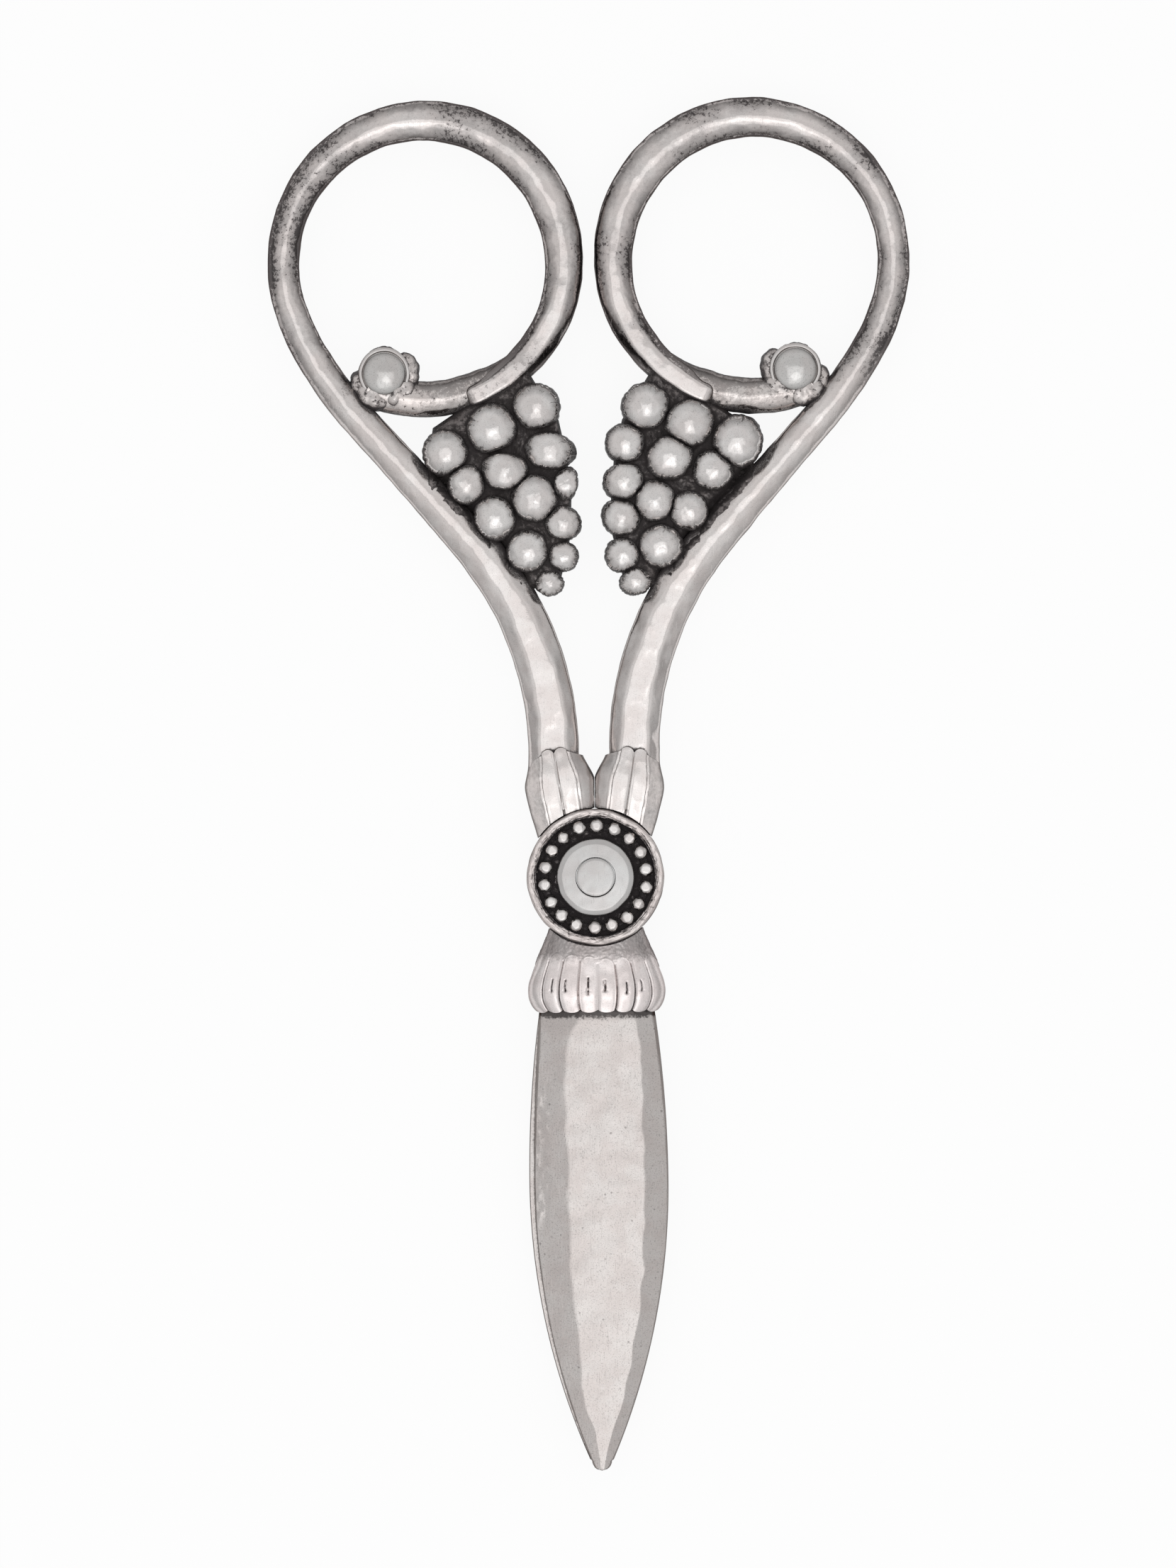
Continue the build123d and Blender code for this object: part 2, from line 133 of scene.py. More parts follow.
class Graph:
    """Short calls for building a node tree."""

    def __init__(self, holder):
        holder.use_nodes = True
        self.tree = holder.node_tree
        self.tree.nodes.clear()

    def add(self, kind, *inputs, out=0, set_to=None, **named):
        node = self.tree.nodes.new("ShaderNode" + kind)
        for key, value in (set_to or {}).items():
            setattr(node, key, value)
        for key, value in list(enumerate(inputs)) + list(named.items()):
            socket = node.inputs[key.replace("_", " ") if isinstance(key, str) else key]
            if isinstance(value, bpy.types.NodeSocket):
                self.tree.links.new(value, socket)
            else:
                socket.default_value = value
        return node.outputs[out] if out is not None else node

    def math(self, operation, *inputs):
        return self.add("Math", *inputs, set_to={"operation": operation})

    def vector(self, operation, *inputs):
        return self.add("VectorMath", *inputs, set_to={"operation": operation})

    def scaled(self, value, factor, plus):
        return self.math("MULTIPLY_ADD", value, factor, plus)

    def centred(self, value):
        return self.math("SUBTRACT", value, 0.5)

    def noise(self, place, size, detail, roughness):
        return self.add(
            "TexNoise", Vector=place, Scale=1 / (size * MM), Detail=detail, Roughness=roughness
        )

    def fit(self, value, low, high, to_low=0.0, to_high=1.0):
        """value from one range to another, smoothly and clamped."""
        kind = {"interpolation_type": "SMOOTHSTEP"}
        return self.add("MapRange", value, low, high, to_low, to_high, set_to=kind)

    def mix(self, factor, first, second):
        node = self.add("Mix", out=None, set_to={"data_type": "RGBA"})
        for index, value in ((0, factor), (6, first), (7, second)):
            if isinstance(value, bpy.types.NodeSocket):
                self.tree.links.new(value, node.inputs[index])
            else:
                node.inputs[index].default_value = (*value, 1)
        return node.outputs[2]

    def ramp(self, value, stops):
        node = self.add("ValToRGB", value, out=None)
        elements = node.color_ramp.elements
        while len(elements) < len(stops):
            elements.new(0.5)
        for element, (place, grey) in zip(elements, stops):
            element.position = place
            element.color = (grey, grey, grey, 1)
        return node.outputs[0]


def make_world():
    world = bpy.data.worlds.new("studio")
    bpy.context.scene.world = world
    g = Graph(world)
    up = g.add("SeparateXYZ", g.add("TexCoord"), out=2)
    g.add("OutputWorld", g.add("Background", g.ramp(up, SKY), 1.0), out=None)


def make_floor():
    mesh = bpy.data.meshes.new("floor")
    corners = [(x * FLOOR_HALF, y * FLOOR_HALF, FLOOR_LEVEL)
               for x, y in ((-1, -1), (1, -1), (1, 1), (-1, 1))]
    mesh.from_pydata(corners, [], [(0, 1, 2, 3)])
    floor = linked("floor", mesh)
    material = bpy.data.materials.new("floor")
    g = Graph(material)
    path = g.add("LightPath", out=None)
    seen = g.math("MAXIMUM", path.outputs["Is Camera Ray"], path.outputs["Is Glossy Ray"])
    paper = g.add("BsdfDiffuse", (PAPER, PAPER, PAPER, 1))
    white = g.add("Emission", (1, 1, 1, 1), 1.0)
    blend = g.add("MixShader", g.math("MULTIPLY", seen, PLAIN), paper, white)
    g.add("OutputMaterial", blend, out=None)
    mesh.materials.append(material)


# Silver. Size in millimetres, detail and roughness of each noise:
CLOUD = (3.2, 3.0, 0.6)
FRAY = (0.50, 5.0, 0.65)
GRAIN = (0.16, 2.0, 0.6)
PATCH = (9.0, 2.0, 0.5)
HAIR = (2.2, 1.0, 0.5)
BRUSH = (1.2, 3.0, 0.5)
PIT_SPACING = 1.1
# Colours of the tarnish, the patina and the painted shade
PATINA_AND_SHADE_BLACK = (0.066, 0.058, 0.059)
TARNISH_AND_SHADE = (0.150, 0.138, 0.134)
RING_TARNISH_AND_SHADE = (0.200, 0.178, 0.175)
BAND_DARK = (0.060, 0.053, 0.052)
PIT_BLACK = (0.10, 0.09, 0.09)
# The tone's share in cloudy patches, in specks and at grazing angles
CLOUD_TINT = (0.93, 0.905, 0.90)
SPECK_SHADE = 0.55
EDGE_SHADE = 0.62
# The finger rings' patina and darker flanks fade in between these heights
PATINA_HEIGHTS = (53, 65)


def silver(
    name, tone, rough, recess, mottle=0.5, flank=(0.35, 1.0, 0.6), black=None, specks=0.3,
    blots=None, pits=0.0, reach=1.3, brushed=0.0, ink=PATINA_AND_SHADE_BLACK, zone=None, chased=0.0,
):
    """Silver, polished where it stands proud, darker on its flanks with tarnish and painted shade,
    black in its recesses.

    recess, black: ranges of shelter and of steepness that turn it black, frayed by mottle. The
    black is patina in hollows, painted shade where the floor or another piece shelters it, and on
    steep walls painted shade, partly patina.
    reach: how near shelter counts. flank: range of steepness that darkens with tarnish and painted
    shade, and how much.
    zone: the place, half width, fray and strength of a darker band; on the blade it is a painted
    shadow under the collar's lip.
    """
    material = bpy.data.materials.new(name)
    g = Graph(material)
    place = g.add("TexCoord", out=3)
    broad, fine, grain = (g.noise(place, *kind) for kind in (CLOUD, FRAY, GRAIN))
    ragged = g.centred(fine)
    # How shut in the surface is, with a frayed border: black patina in its hollows, and painted
    # shade where the floor or another piece shuts it in
    sky = g.add("AmbientOcclusion", out=1, Distance=reach * MM, set_to={"samples": 8})
    dark = g.fit(g.scaled(ragged, mottle, g.math("SUBTRACT", 1.0, sky)), *recess)
    # How steep it is
    tilt = g.math("ABSOLUTE", g.add("SeparateXYZ", g.add("NewGeometry", out=1), out=2))
    steep = g.math("SUBTRACT", 1.0, tilt)
    # Black on steep walls: painted shade, partly patina in the crevices
    if black:
        steeper = g.scaled(ragged, 0.7, steep)
        if chased:
            # Short strokes from the rim of each round form towards its crown
            compass = g.vector("MULTIPLY", g.add("TexCoord", out=1), (1, 1, 0))
            compass = g.add("Mapping", g.vector("NORMALIZE", compass), Scale=(5.0, 5.0, 5.0))
            shift = g.add("Mapping", place, Scale=(400.0, 400.0, 400.0))
            spokes = g.vector("ADD", compass, shift)
            strokes = g.add("TexNoise", Vector=spokes, Scale=1.3, Detail=3.0, Roughness=0.7)
            steeper = g.scaled(g.centred(strokes), chased, steeper)
        dark = g.math("MAXIMUM", dark, g.fit(steeper, *black))
    # Darker on steep flanks: tarnish, and painted shade that stands in for dark edges
    stain_and_flank_shade = g.scaled(ragged, 0.35, g.scaled(g.centred(broad), 0.5, steep))
    tarnish_and_flank_shade = g.fit(stain_and_flank_shade, flank[0], flank[1], 0.0, flank[2])
    # Wear: broad cloudy patches and fine specks
    clean = g.mix(g.fit(broad, 0.36, 0.66), tuple(c * k for c, k in zip(tone, CLOUD_TINT)), tone)
    speck = g.fit(grain, 0.50, 0.80, 0.0, specks)
    dull = g.mix(speck, clean, tuple(SPECK_SHADE * c for c in tone))
    # The flanks' tarnish and painted shade
    dull = g.mix(tarnish_and_flank_shade, dull, TARNISH_AND_SHADE)
    if blots:
        # The finger rings: duller, partly tarnish and partly painted shade where it follows the
        # flank mask, with small black blots, most on their flanks
        high = g.fit(g.add("SeparateXYZ", place, out=1), *(y * MM for y in PATINA_HEIGHTS))
        patch = g.centred(g.noise(place, *PATCH))
        ringed = g.fit(g.scaled(patch, 0.9, stain_and_flank_shade), -0.14, 0.30, 0.0, 0.60)
        dull = g.mix(g.math("MULTIPLY", ringed, high), dull, RING_TARNISH_AND_SHADE)
        blot = g.scaled(patch, 1.3, g.math("MULTIPLY", steep, 0.95))
        blot = g.scaled(g.centred(grain), 0.55, g.scaled(ragged, 1.15, blot))
        blot = g.fit(blot, blots, blots + 0.14, 0.0, 0.88)
        dull = g.mix(g.math("MULTIPLY", blot, high), dull, ink)
    # A darker band across y: on the blade, a painted shadow under the collar's lip
    if zone:
        middle, half, fray, strength = zone
        along = g.scaled(ragged, fray * MM, g.add("SeparateXYZ", place, out=1))
        far = g.math("ABSOLUTE", g.math("SUBTRACT", along, middle * MM))
        dark_band = g.fit(far, half * MM, 0.45 * half * MM, 0.0, strength)
        dull = g.mix(dark_band, dull, BAND_DARK)
    if pits:
        cells = g.add("TexVoronoi", Vector=place, Scale=1 / (PIT_SPACING * MM))
        pit = g.math("MULTIPLY", g.fit(cells, 0.15, 0.09), g.fit(broad, 0.50, 0.60, 0.0, pits))
        dull = g.mix(pit, dull, PIT_BLACK)
    # Grain and hairline scratches
    slanted = g.add("Mapping", place, Rotation=(0, 0, 0.42), Scale=(22.0, 1.0, 1.0))
    hairs = g.fit(g.noise(slanted, *HAIR), 0.70, 0.74)
    height = g.scaled(hairs, -0.010, g.math("MULTIPLY", grain, 0.008))
    height = g.scaled(g.math("MULTIPLY", dark, fine), 0.20, height)
    if brushed:
        along = g.add("Mapping", place, Scale=(6.0, 1.0, 6.0))
        height = g.scaled(g.noise(along, *BRUSH), brushed * 0.02, height)
    shine = g.scaled(g.math("MAXIMUM", dark, tarnish_and_flank_shade), 0.25, rough)
    # The black of patina and painted shade goes into the colour where dark is high
    bsdf = g.add(
        "BsdfPrincipled",
        Base_Color=g.mix(dark, dull, ink),
        Metallic=g.scaled(dark, -0.8, 1.0),
        Roughness=g.scaled(ragged, 0.10, shine),
        Normal=g.add("Bump", Strength=0.5, Distance=1.0 * MM, Height=height),
        Specular_Tint=tuple(EDGE_SHADE * c for c in tone) + (1,),
    )
    g.add("OutputMaterial", bsdf, out=None)
    return material


# Mesh helpers. Points nearer than WELD are joined, and edges steeper than SHARP stay crisp.
WELD = 0.002
SHARP = radians(38.0)


class Shape:
    """Vertices in millimetres and faces of one piece."""

    def __init__(self):
        self.verts, self.faces = [], []

    def skin(self, rings, caps=True):
        """Join rings of points, and close both ends."""
        first, count = len(self.verts), len(rings[0])
        for ring in rings:
            self.verts += ring
        for i in range(len(rings) - 1):
            for j in range(count):
                a, b = first + i * count + j, first + i * count + (j + 1) % count
                self.faces.append((a, b, b + count, a + count))
        if caps:
            for base in (first, first + (len(rings) - 1) * count):
                ring = self.verts[base:base + count]
                self.verts.append(tuple(sum(p[k] for p in ring) / count for k in range(3)))
                top = len(self.verts) - 1
                self.faces += [(base + j, base + (j + 1) % count, top) for j in range(count)]
        return self

    def loop(self, rings):
        return self.skin(rings + rings[:1], caps=False)

    def ball(self, centre, reach, rows, columns, side=1):
        """A closed form whose radius in each direction comes from reach."""
        rings = []
        for i in range(rows + 1):
            t = pi * min(max(i, 0.02), rows - 0.02) / rows
            ring = []
            for p in turns(columns):
                d = (sin(t) * cos(p), sin(t) * sin(p), cos(t) * side)
                r = reach(d)
                ring.append(tuple(c + r * k for c, k in zip(centre, d)))
            rings.append(ring)
        return self.skin(rings)

    def build(self, name, side, node, look=None):
        """The finished object on its lever, turned over for the left or back one."""
        points = [(x, y, min(max(z, 0.0), 2 * MID)) for x, y, z in self.verts]
        if side in ("left", "back"):
            points = [(-x, y, 2 * MID - z) for x, y, z in points]
        mesh = bpy.data.meshes.new(name)
        mesh.from_pydata([tuple(c * MM for c in point) for point in points], [], self.faces)
        bm = bmesh.new()
        bm.from_mesh(mesh)
        bmesh.ops.remove_doubles(bm, verts=bm.verts, dist=WELD * MM)
        bmesh.ops.recalc_face_normals(bm, faces=bm.faces)
        bm.to_mesh(mesh)
        bm.free()
        mesh.polygons.foreach_set("use_smooth", [True] * len(mesh.polygons))
        mesh.set_sharp_from_angle(angle=SHARP)
        obj = linked(name, mesh)
        slot = slots[node]
        mesh.materials.append(silvers[look or slot])
        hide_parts(node)
        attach(obj, lever_of[node])


def polar(r, p, z):
    return (r * cos(p), r * sin(p), z)


def turns(count):
    return [2 * pi * j / count for j in range(count)]


def wave(point, size, seed):
    """Smooth noise, mostly within half a unit of zero."""
    return noise.noise(Vector(point) / size + Vector((seed, 0.7 * seed, 1.3 * seed)))


def hammered(point, size, seed):
    """Shallow dimples with crisp ridges between them, about 0 to 1."""
    cell = noise.voronoi(Vector(point) / size + Vector((seed, 2.1 * seed, 0.4 * seed)))[0][0]
    return min(cell, 1.0) ** 2


def relief(spot, seed, skin):
    """Height of a worked surface, from its (noise, height, size) marks."""
    return sum(height * kind(spot, size, seed) for kind, height, size in skin)


def eased(share):
    share = min(max(share, 0.0), 1.0)
    return share * share * (3 - 2 * share)


def ridge(off, width):
    """A rounded ridge of height 1."""
    return exp(-((off / width) ** 2))


def sagitta(q):
    """How far a half circle falls at a share of its half width."""
    return 1 - sqrt(max(1 - q * q, 0.0))


def between(stops, at):
    """A smooth curve through (place, value) stops, with no overshoot."""
    slopes = [(v1 - v0) / (p1 - p0) for (p0, v0), (p1, v1) in zip(stops, stops[1:])]
    inner = [(a + b) / 2 if a * b > 0 else 0.0 for a, b in zip(slopes, slopes[1:])]
    slopes = slopes[:1] + inner + slopes[-1:]
    for k, ((p0, v0), (p1, v1)) in enumerate(zip(stops, stops[1:])):
        if at <= p1 or k == len(stops) - 2:
            t = min(max((at - p0) / (p1 - p0), 0.0), 1.0)
            s, e = slopes[k] * (p1 - p0), slopes[k + 1] * (p1 - p0)
            return v0 + t * (s + t * (3 * (v1 - v0) - 2 * s - e + t * (s + e - 2 * (v1 - v0))))


def crossing(low, high, before):
    """Where before stops being true, by halving."""
    for _ in range(22):
        middle = (low + high) / 2
        if before(middle):
            low = middle
        else:
            high = middle
    return high


def divided(corners, step, rise=1.0):
    """Points along a line of corners, at most a step apart."""
    points = []
    for (u0, v0), (u1, v1) in zip(corners, corners[1:]):
        count = max(1, ceil(hypot(u1 - u0, rise * (v1 - v0)) / step))
        points += [(u0 + (u1 - u0) * i / count, v0 + (v1 - v0) * i / count) for i in range(count)]
    return points


def rounded(points, radius, steps=4):
    """Corners rounded; the ends stay."""
    smooth = [points[0]]
    for before, corner, after in zip(points, points[1:], points[2:]):
        b, c, a = Vector(before), Vector(corner), Vector(after)
        cut = min(radius, (b - c).length * 0.45, (a - c).length * 0.45)
        p, q = c + (b - c).normalized() * cut, c + (a - c).normalized() * cut
        for i in range(steps + 1):
            t = i / steps
            smooth.append(tuple((1 - t) ** 2 * p + 2 * t * (1 - t) * c + t * t * q))
    smooth.append(points[-1])
    return smooth


def mirrored(half):
    return [(r, -z) for r, z in reversed(half)]


def facet_radius(planes, power, angle):
    """Distance to a rounded polygon, given as (direction, distance) of its sides."""
    total = 0.0
    for direction, distance in planes:
        c = cos(angle - direction)
        if c > 0.05:
            total += (c / distance) ** power
    return total ** (-1 / power)


def ellipse_radius(a, b, angle):
    return 1 / hypot(cos(angle) / a, sin(angle) / b)


def revolved(profile, columns, wobble, at=(0.0, 0.0)):
    """Rings of a round piece from (radius, height) points and what wobble adds."""
    rings = []
    for r, z in profile:
        ring = []
        for p in turns(columns):
            dr, dz = wobble(p, r, z)
            ring.append((at[0] + (r + dr) * cos(p), at[1] + (r + dr) * sin(p), MID + z + dz))
        rings.append(ring)
    return rings


def domed(d, level, wall, top, curve):
    """Radius of a form with low domes and a steep wall; level is d's share of its outline."""
    sunk, up = top - curve, abs(d[2])
    dome = up * sunk + sqrt(max(curve**2 - sunk**2 * (1 - up**2), 0.0)) if up > 0.02 else 9.0
    return (dome**-16 + (wall / max(level, 0.001)) ** -16) ** (-1 / 16)


# The arm: a forged rod, faceted at the foot, nearly round in the ring, and how wide, deep and
# far aside it is along its length
ROD_WIDTHS = (
    (0, 6.2), (15, 6.05), (21, 5.8), (27, 5.5), (30, 5.25), (37, 4.7), (43, 4.4), (50, 4.25),
    (58, 4.1), (65, 3.95), (72, 3.85), (78, 3.95), (85, 4.35), (91, 4.6), (98, 4.85), (110, 5.05),
    (116, 4.95), (123, 4.7), (129, 4.45), (132, 4.3), (137, 4.05), (142, 3.65), (147, 3.1),
)
ROD_DEPTHS = ((0, 4.5), (30, 4.3), (50, 3.9), (65, 3.9), (98, 4.2), (132, 4.4), (146, 3.8))
ROD_SHIFTS = (
    (20, 0.0), (30, 0.05), (45, 0.1), (56, 0.12), (62, 0.28), (66, 0.2), (72, 0.0), (82, -0.08),
    (88, -0.12), (98, -0.04), (122, 0.0), (129, 0.18), (132, 0.24), (138, 0.1), (147, -0.3),
)
# The flat panel's share of the half width, and how faceted the section is
ROD_PANELS = ((0, 0.52), (12, 0.46), (26, 0.26), (40, 0.16), (118, 0.12), (136, 0.5), (150, 0.6))
ROD_FACETS = ((0, 1.0), (16, 1.0), (34, 0.6), (60, 0.35), (118, 0.35), (136, 0.9), (150, 1.0))
ROD_SKIN = ((hammered, 0.07, 1.9), (wave, 0.06, 2.4), (wave, 0.012, 0.5))
ROD_SINK = 0.03
ROD_POWER = 22
# The tail's swell and blunt nose
TAIL_SWELL = 0.45
NOSE_LENGTH = 1.6
NOSE_POWER = 2.4


def run_length():
    """The straight run, which sets the rings their gap apart."""
    lean, shoulder = radians(STEM_LEAN), radians(SHOULDER_LEAN)
    reach = (RING_GAP + FLANK_WIDTH) / 2 + RING_RADIUS * (1 + cos(shoulder))
    bend = BEND_RADIUS * (1 - cos(lean)) + SHOULDER_RADIUS * (cos(shoulder) - cos(lean))
    return (reach - STEM_OFFSET - bend) / sin(lean)


def arm_line(step):
    """Points along the rod: x, y, heading and distance from the foot."""
    legs = ((0.0, FOOT_LENGTH), (-STEM_LEAN, BEND_RADIUS), (0.0, run_length()),
            (STEM_LEAN - SHOULDER_LEAN, SHOULDER_RADIUS), (LOOP_TOP_TURN, RING_RADIUS),
            (LOOP_INNER_TURN, RING_RADIUS), (TAIL_TURN, TAIL_RADIUS))
    x, y, heading, far, rows = STEM_OFFSET, STEM_FOOT, 0.0, 0.0, []
    for turn, measure in legs:
        length = abs(radians(turn)) * measure if turn else measure
        count = ceil(length / step)
        for _ in range(count):
            rows.append((x, y, radians(heading), far))
            middle = radians(heading - turn / count / 2)
            x += sin(middle) * length / count
            y += cos(middle) * length / count
            heading -= turn / count
            far += length / count
    rows.append((x, y, radians(heading), far))
    return rows


def rod_ring(x, y, heading, section):
    """A section square to a heading, from (across, up) pairs."""
    return [(x + u * cos(heading), y - u * sin(heading), MID + v) for u, v in section]


def arm_planes(a, b, panel, far, seed):
    """Sides of the section: flat top and bottom, their bevels and the flanks."""
    planes = [(0.0, 0.985 * a), (pi, 0.985 * a)]
    for up in (1, -1):
        top = b * (0.975 + 0.012 * wave((far, 9.0 * up, 0), 3.1, seed))
        planes.append((pi / 2 * up, top))
        for side in (1, -1):
            edge = panel + 0.10 * wave((far, 4.0 * side, 7.0 * up), 2.6, seed)
            low = 0.42 + 0.08 * wave((far, 6.0 * side, 3.0 * up), 4.0, seed + 5)
            across, drop = (0.97 - edge) * a, top - low * b
            reach = (drop * edge * a + across * top) / hypot(across, drop)
            planes.append((atan2(up * across, side * drop), reach))
    return planes


def arm_shape(seed):
    rings, rows = [], arm_line(0.22)
    end = rows[-1][3]
    for x, y, heading, far in rows:
        a = between(ROD_WIDTHS, far) / 2
        b = between(ROD_DEPTHS, far) / 2 + TAIL_SWELL * eased((far - end + 12) / 9)
        shift = between(ROD_SHIFTS, far)
        x, y = x + shift * cos(heading), y - shift * sin(heading)
        facet = between(ROD_FACETS, far)
        planes = arm_planes(a, b, between(ROD_PANELS, far), far, seed)
        nose = sqrt(max(1 - max(1 - (end - far) / NOSE_LENGTH, 0.0) ** NOSE_POWER, 0.004))
        section = []
        for angle in turns(96):
            r = facet * facet_radius(planes, ROD_POWER, angle)
            r += (1 - facet) * ellipse_radius(a, b, angle)
            u, v = r * cos(angle), r * sin(angle)
            spot = (x + u * cos(heading), y - u * sin(heading), v)
            r = nose * (r + relief(spot, seed, ROD_SKIN) - ROD_SINK)
            section.append((r * cos(angle), r * sin(angle)))
        rings.append(rod_ring(x, y, heading, section))
    return Shape().skin(rings)


# The tendril, beside and under the ring's tail: start and end round the ring's centre, growth,
# half width and half depth
TENDRIL_START, TENDRIL_END = 206, 294
TENDRIL_GROWTH = ((206, 0.42), (240, 0.86), (250, 1.0), (300, 1.0))
TENDRIL_HALVES = (2.2, 1.9)
TENDRIL_INSET = 0.1
# Each facet: direction, how much it wanders, its share, and of which half
TENDRIL_FACETS = ((38, 0, 0.93, 0), (139, 0, 0.90, 0), (66, 30, 0.97, 1), (113, 30, 0.95, 1))
TENDRIL_SKIN = ((wave, 0.08, 1.9), (hammered, 0.05, 1.3), (wave, 0.02, 0.4))
TENDRIL_SINK = 0.04
TENDRIL_POWER = 18
TENDRIL_STEPS = 120


def ring_centre():
    lean, shoulder = radians(STEM_LEAN), radians(SHOULDER_LEAN)
    x = STEM_OFFSET + BEND_RADIUS * (1 - cos(lean)) + run_length() * sin(lean)
    x += SHOULDER_RADIUS * (cos(shoulder) - cos(lean)) - RING_RADIUS * cos(shoulder)
    y = STEM_FOOT + FOOT_LENGTH + BEND_RADIUS * sin(lean) + run_length() * cos(lean)
    y += SHOULDER_RADIUS * (sin(lean) - sin(shoulder)) + RING_RADIUS * sin(shoulder)
    return x, y


def tendril_shape(seed):
    rings, (cx, cy) = [], ring_centre()
    radius = RING_RADIUS - TENDRIL_INSET
    for i in range(TENDRIL_STEPS + 1):
        degree = TENDRIL_START + (TENDRIL_END - TENDRIL_START) * i / TENDRIL_STEPS
        halves = [half * between(TENDRIL_GROWTH, degree) for half in TENDRIL_HALVES]
        angle = radians(degree)
        x, y = cx + radius * cos(angle), cy + radius * sin(angle)
        drift = 0.12 * wave((radius * angle, 0, 0), 2.0, seed)
        planes = [(0, halves[0]), (pi, halves[0]), (pi / 2, halves[1]), (-pi / 2, halves[1])]
        for up in (1, -1):
            for turn, wander, share, which in TENDRIL_FACETS:
                planes.append((up * radians(turn + wander * drift), share * halves[which]))
        section = []
        for turn in turns(72):
            r = facet_radius(planes, TENDRIL_POWER, turn)
            spot = (x, y + r * cos(turn), r * sin(turn))
            r += relief(spot, seed, TENDRIL_SKIN) - TENDRIL_SINK
            section.append((r * cos(turn), r * sin(turn)))
        rings.append(rod_ring(x, y, -angle, section))
    return Shape().skin(rings)


# The berry in its calyx: wall, top and curve of the ball, its place in the ring, and the upper
# half of the bezel's section
BERRY_DOME = (2.74, 2.60, 4.8)
BERRY_SKIN = ((wave, 0.04, 0.9), (hammered, -0.03, 0.40))
BERRY_TURN = 289.6
BERRY_INSET = 2.35
BEZEL = ((2.62, 0.3), (2.64, 1.56), (2.78, 1.66), (3.02, 1.58), (3.13, 1.40), (3.16, 0.6))
# Each petal or leaf at its foot: direction, place, half length, half width and half height
PETALS = (
    (-26, 2.8, 1.65, 1.9, 1.4), (88, 2.1, 1.22, 1.9, 1.2), (170, 2.75, 1.50, 2.2, 1.5),
    (232, 2.9, 1.55, 2.3, 1.95), (296, 3.0, 1.6, 2.4, 1.9),
)
PETAL_SKIN = ((wave, 0.24, 1.6), (hammered, -0.14, 1.1))


def berry_place():
    cx, cy = ring_centre()
    angle = radians(BERRY_TURN)
    out = RING_RADIUS - BERRY_INSET
    return cx + out * cos(angle), cy + out * sin(angle)


def berry_shape(seed):
    def reach(d):
        return domed(d, hypot(d[0], d[1]), *BERRY_DOME) + relief(d, seed, BERRY_SKIN)

    return Shape().ball((*berry_place(), MID), reach, rows=48, columns=64)


def calyx_shape(seed):
    def uneven(p, r, z):
        edge = 0.05 * wave(polar(2, p, z), 1.0, seed)
        return edge, 0.8 * edge

    cup = rounded([*BEZEL, *mirrored(BEZEL)], 0.08)
    return Shape().loop(revolved(cup, 80, uneven, berry_place()))


def petals_shape(seed):
    shape = Shape()
    x, y = berry_place()
    for k, (turn, out, long, wide, high) in enumerate(PETALS):
        p = radians(turn)

        def reach(d):
            u, v = d[0] * cos(p) + d[1] * sin(p), d[1] * cos(p) - d[0] * sin(p)
            level = hypot(u / long, v / wide)
            flat = (level**3 + abs(d[2] / high) ** 3) ** (-1 / 3)
            return flat + relief((3 * d[0] + 9 * k, 3 * d[1], 3 * d[2]), seed, PETAL_SKIN)

        shape.ball((x + out * cos(p), y + out * sin(p), MID), reach, rows=26, columns=36)
    return shape


# The bunch: squeezed grapes on both faces of a rough core
# Each grape: place across, place down, radius, stretch, squash and turn of the stretch
RIGHT_GRAPES = (
    (0.252, 0.109, 0.95, 1.02, 0.98, 20), (0.527, 0.193, 0.98, 1.08, 0.96, 10),
    (0.829, 0.281, 1.02, 1.06, 0.98, 60), (0.120, 0.283, 0.80, 1.00, 1.00, 0),
    (0.401, 0.354, 0.95, 1.12, 0.90, 40), (0.672, 0.414, 0.83, 1.05, 0.96, 30),
    (0.108, 0.463, 0.80, 1.04, 0.92, 10), (0.302, 0.556, 0.86, 1.02, 1.00, 0),
    (0.516, 0.605, 0.79, 1.02, 0.98, 80), (0.090, 0.633, 0.76, 1.06, 0.96, 150),
    (0.336, 0.770, 0.88, 1.02, 0.98, 30), (0.094, 0.811, 0.70, 1.00, 1.00, 0),
    (0.175, 0.938, 0.58, 1.12, 0.90, 10),
)
LEFT_GRAPES = (
    (0.243, 0.107, 0.93, 1.02, 1.00, 0), (0.525, 0.208, 1.00, 1.04, 0.98, 120),
    (0.820, 0.320, 0.90, 1.00, 1.02, 0), (0.163, 0.315, 0.92, 1.16, 0.78, 8),
    (0.448, 0.410, 0.93, 1.16, 0.76, 0), (0.690, 0.467, 0.78, 0.94, 1.06, 0),
    (0.260, 0.539, 0.98, 1.04, 0.96, 30), (0.060, 0.472, 0.62, 0.74, 1.16, 12),
    (0.511, 0.629, 0.88, 0.90, 1.10, 155), (0.082, 0.656, 0.70, 1.06, 0.98, 20),
    (0.305, 0.787, 0.84, 0.98, 1.02, 0), (0.080, 0.815, 0.60, 1.00, 1.00, 0),
    (0.169, 0.941, 0.53, 1.08, 0.94, 0),
)
BUNCH_EDGE = 1.9
BUNCH_WIDTH = RING_RADIUS * 1.125
GRAPE_RADIUS = BUNCH_WIDTH * 0.1455
# Wall, top and curve of a grape, as shares of its radius
GRAPE_DOME = (1.15, 0.985, 1.40)
GRAPE_SKIN = ((wave, 0.08, 1.5), (hammered, -0.035, 0.7), (wave, 0.008, 0.35))
# Power that blends a grape with the walls of its neighbours
SQUEEZE = 14
STROKE_DEPTH = 0.20
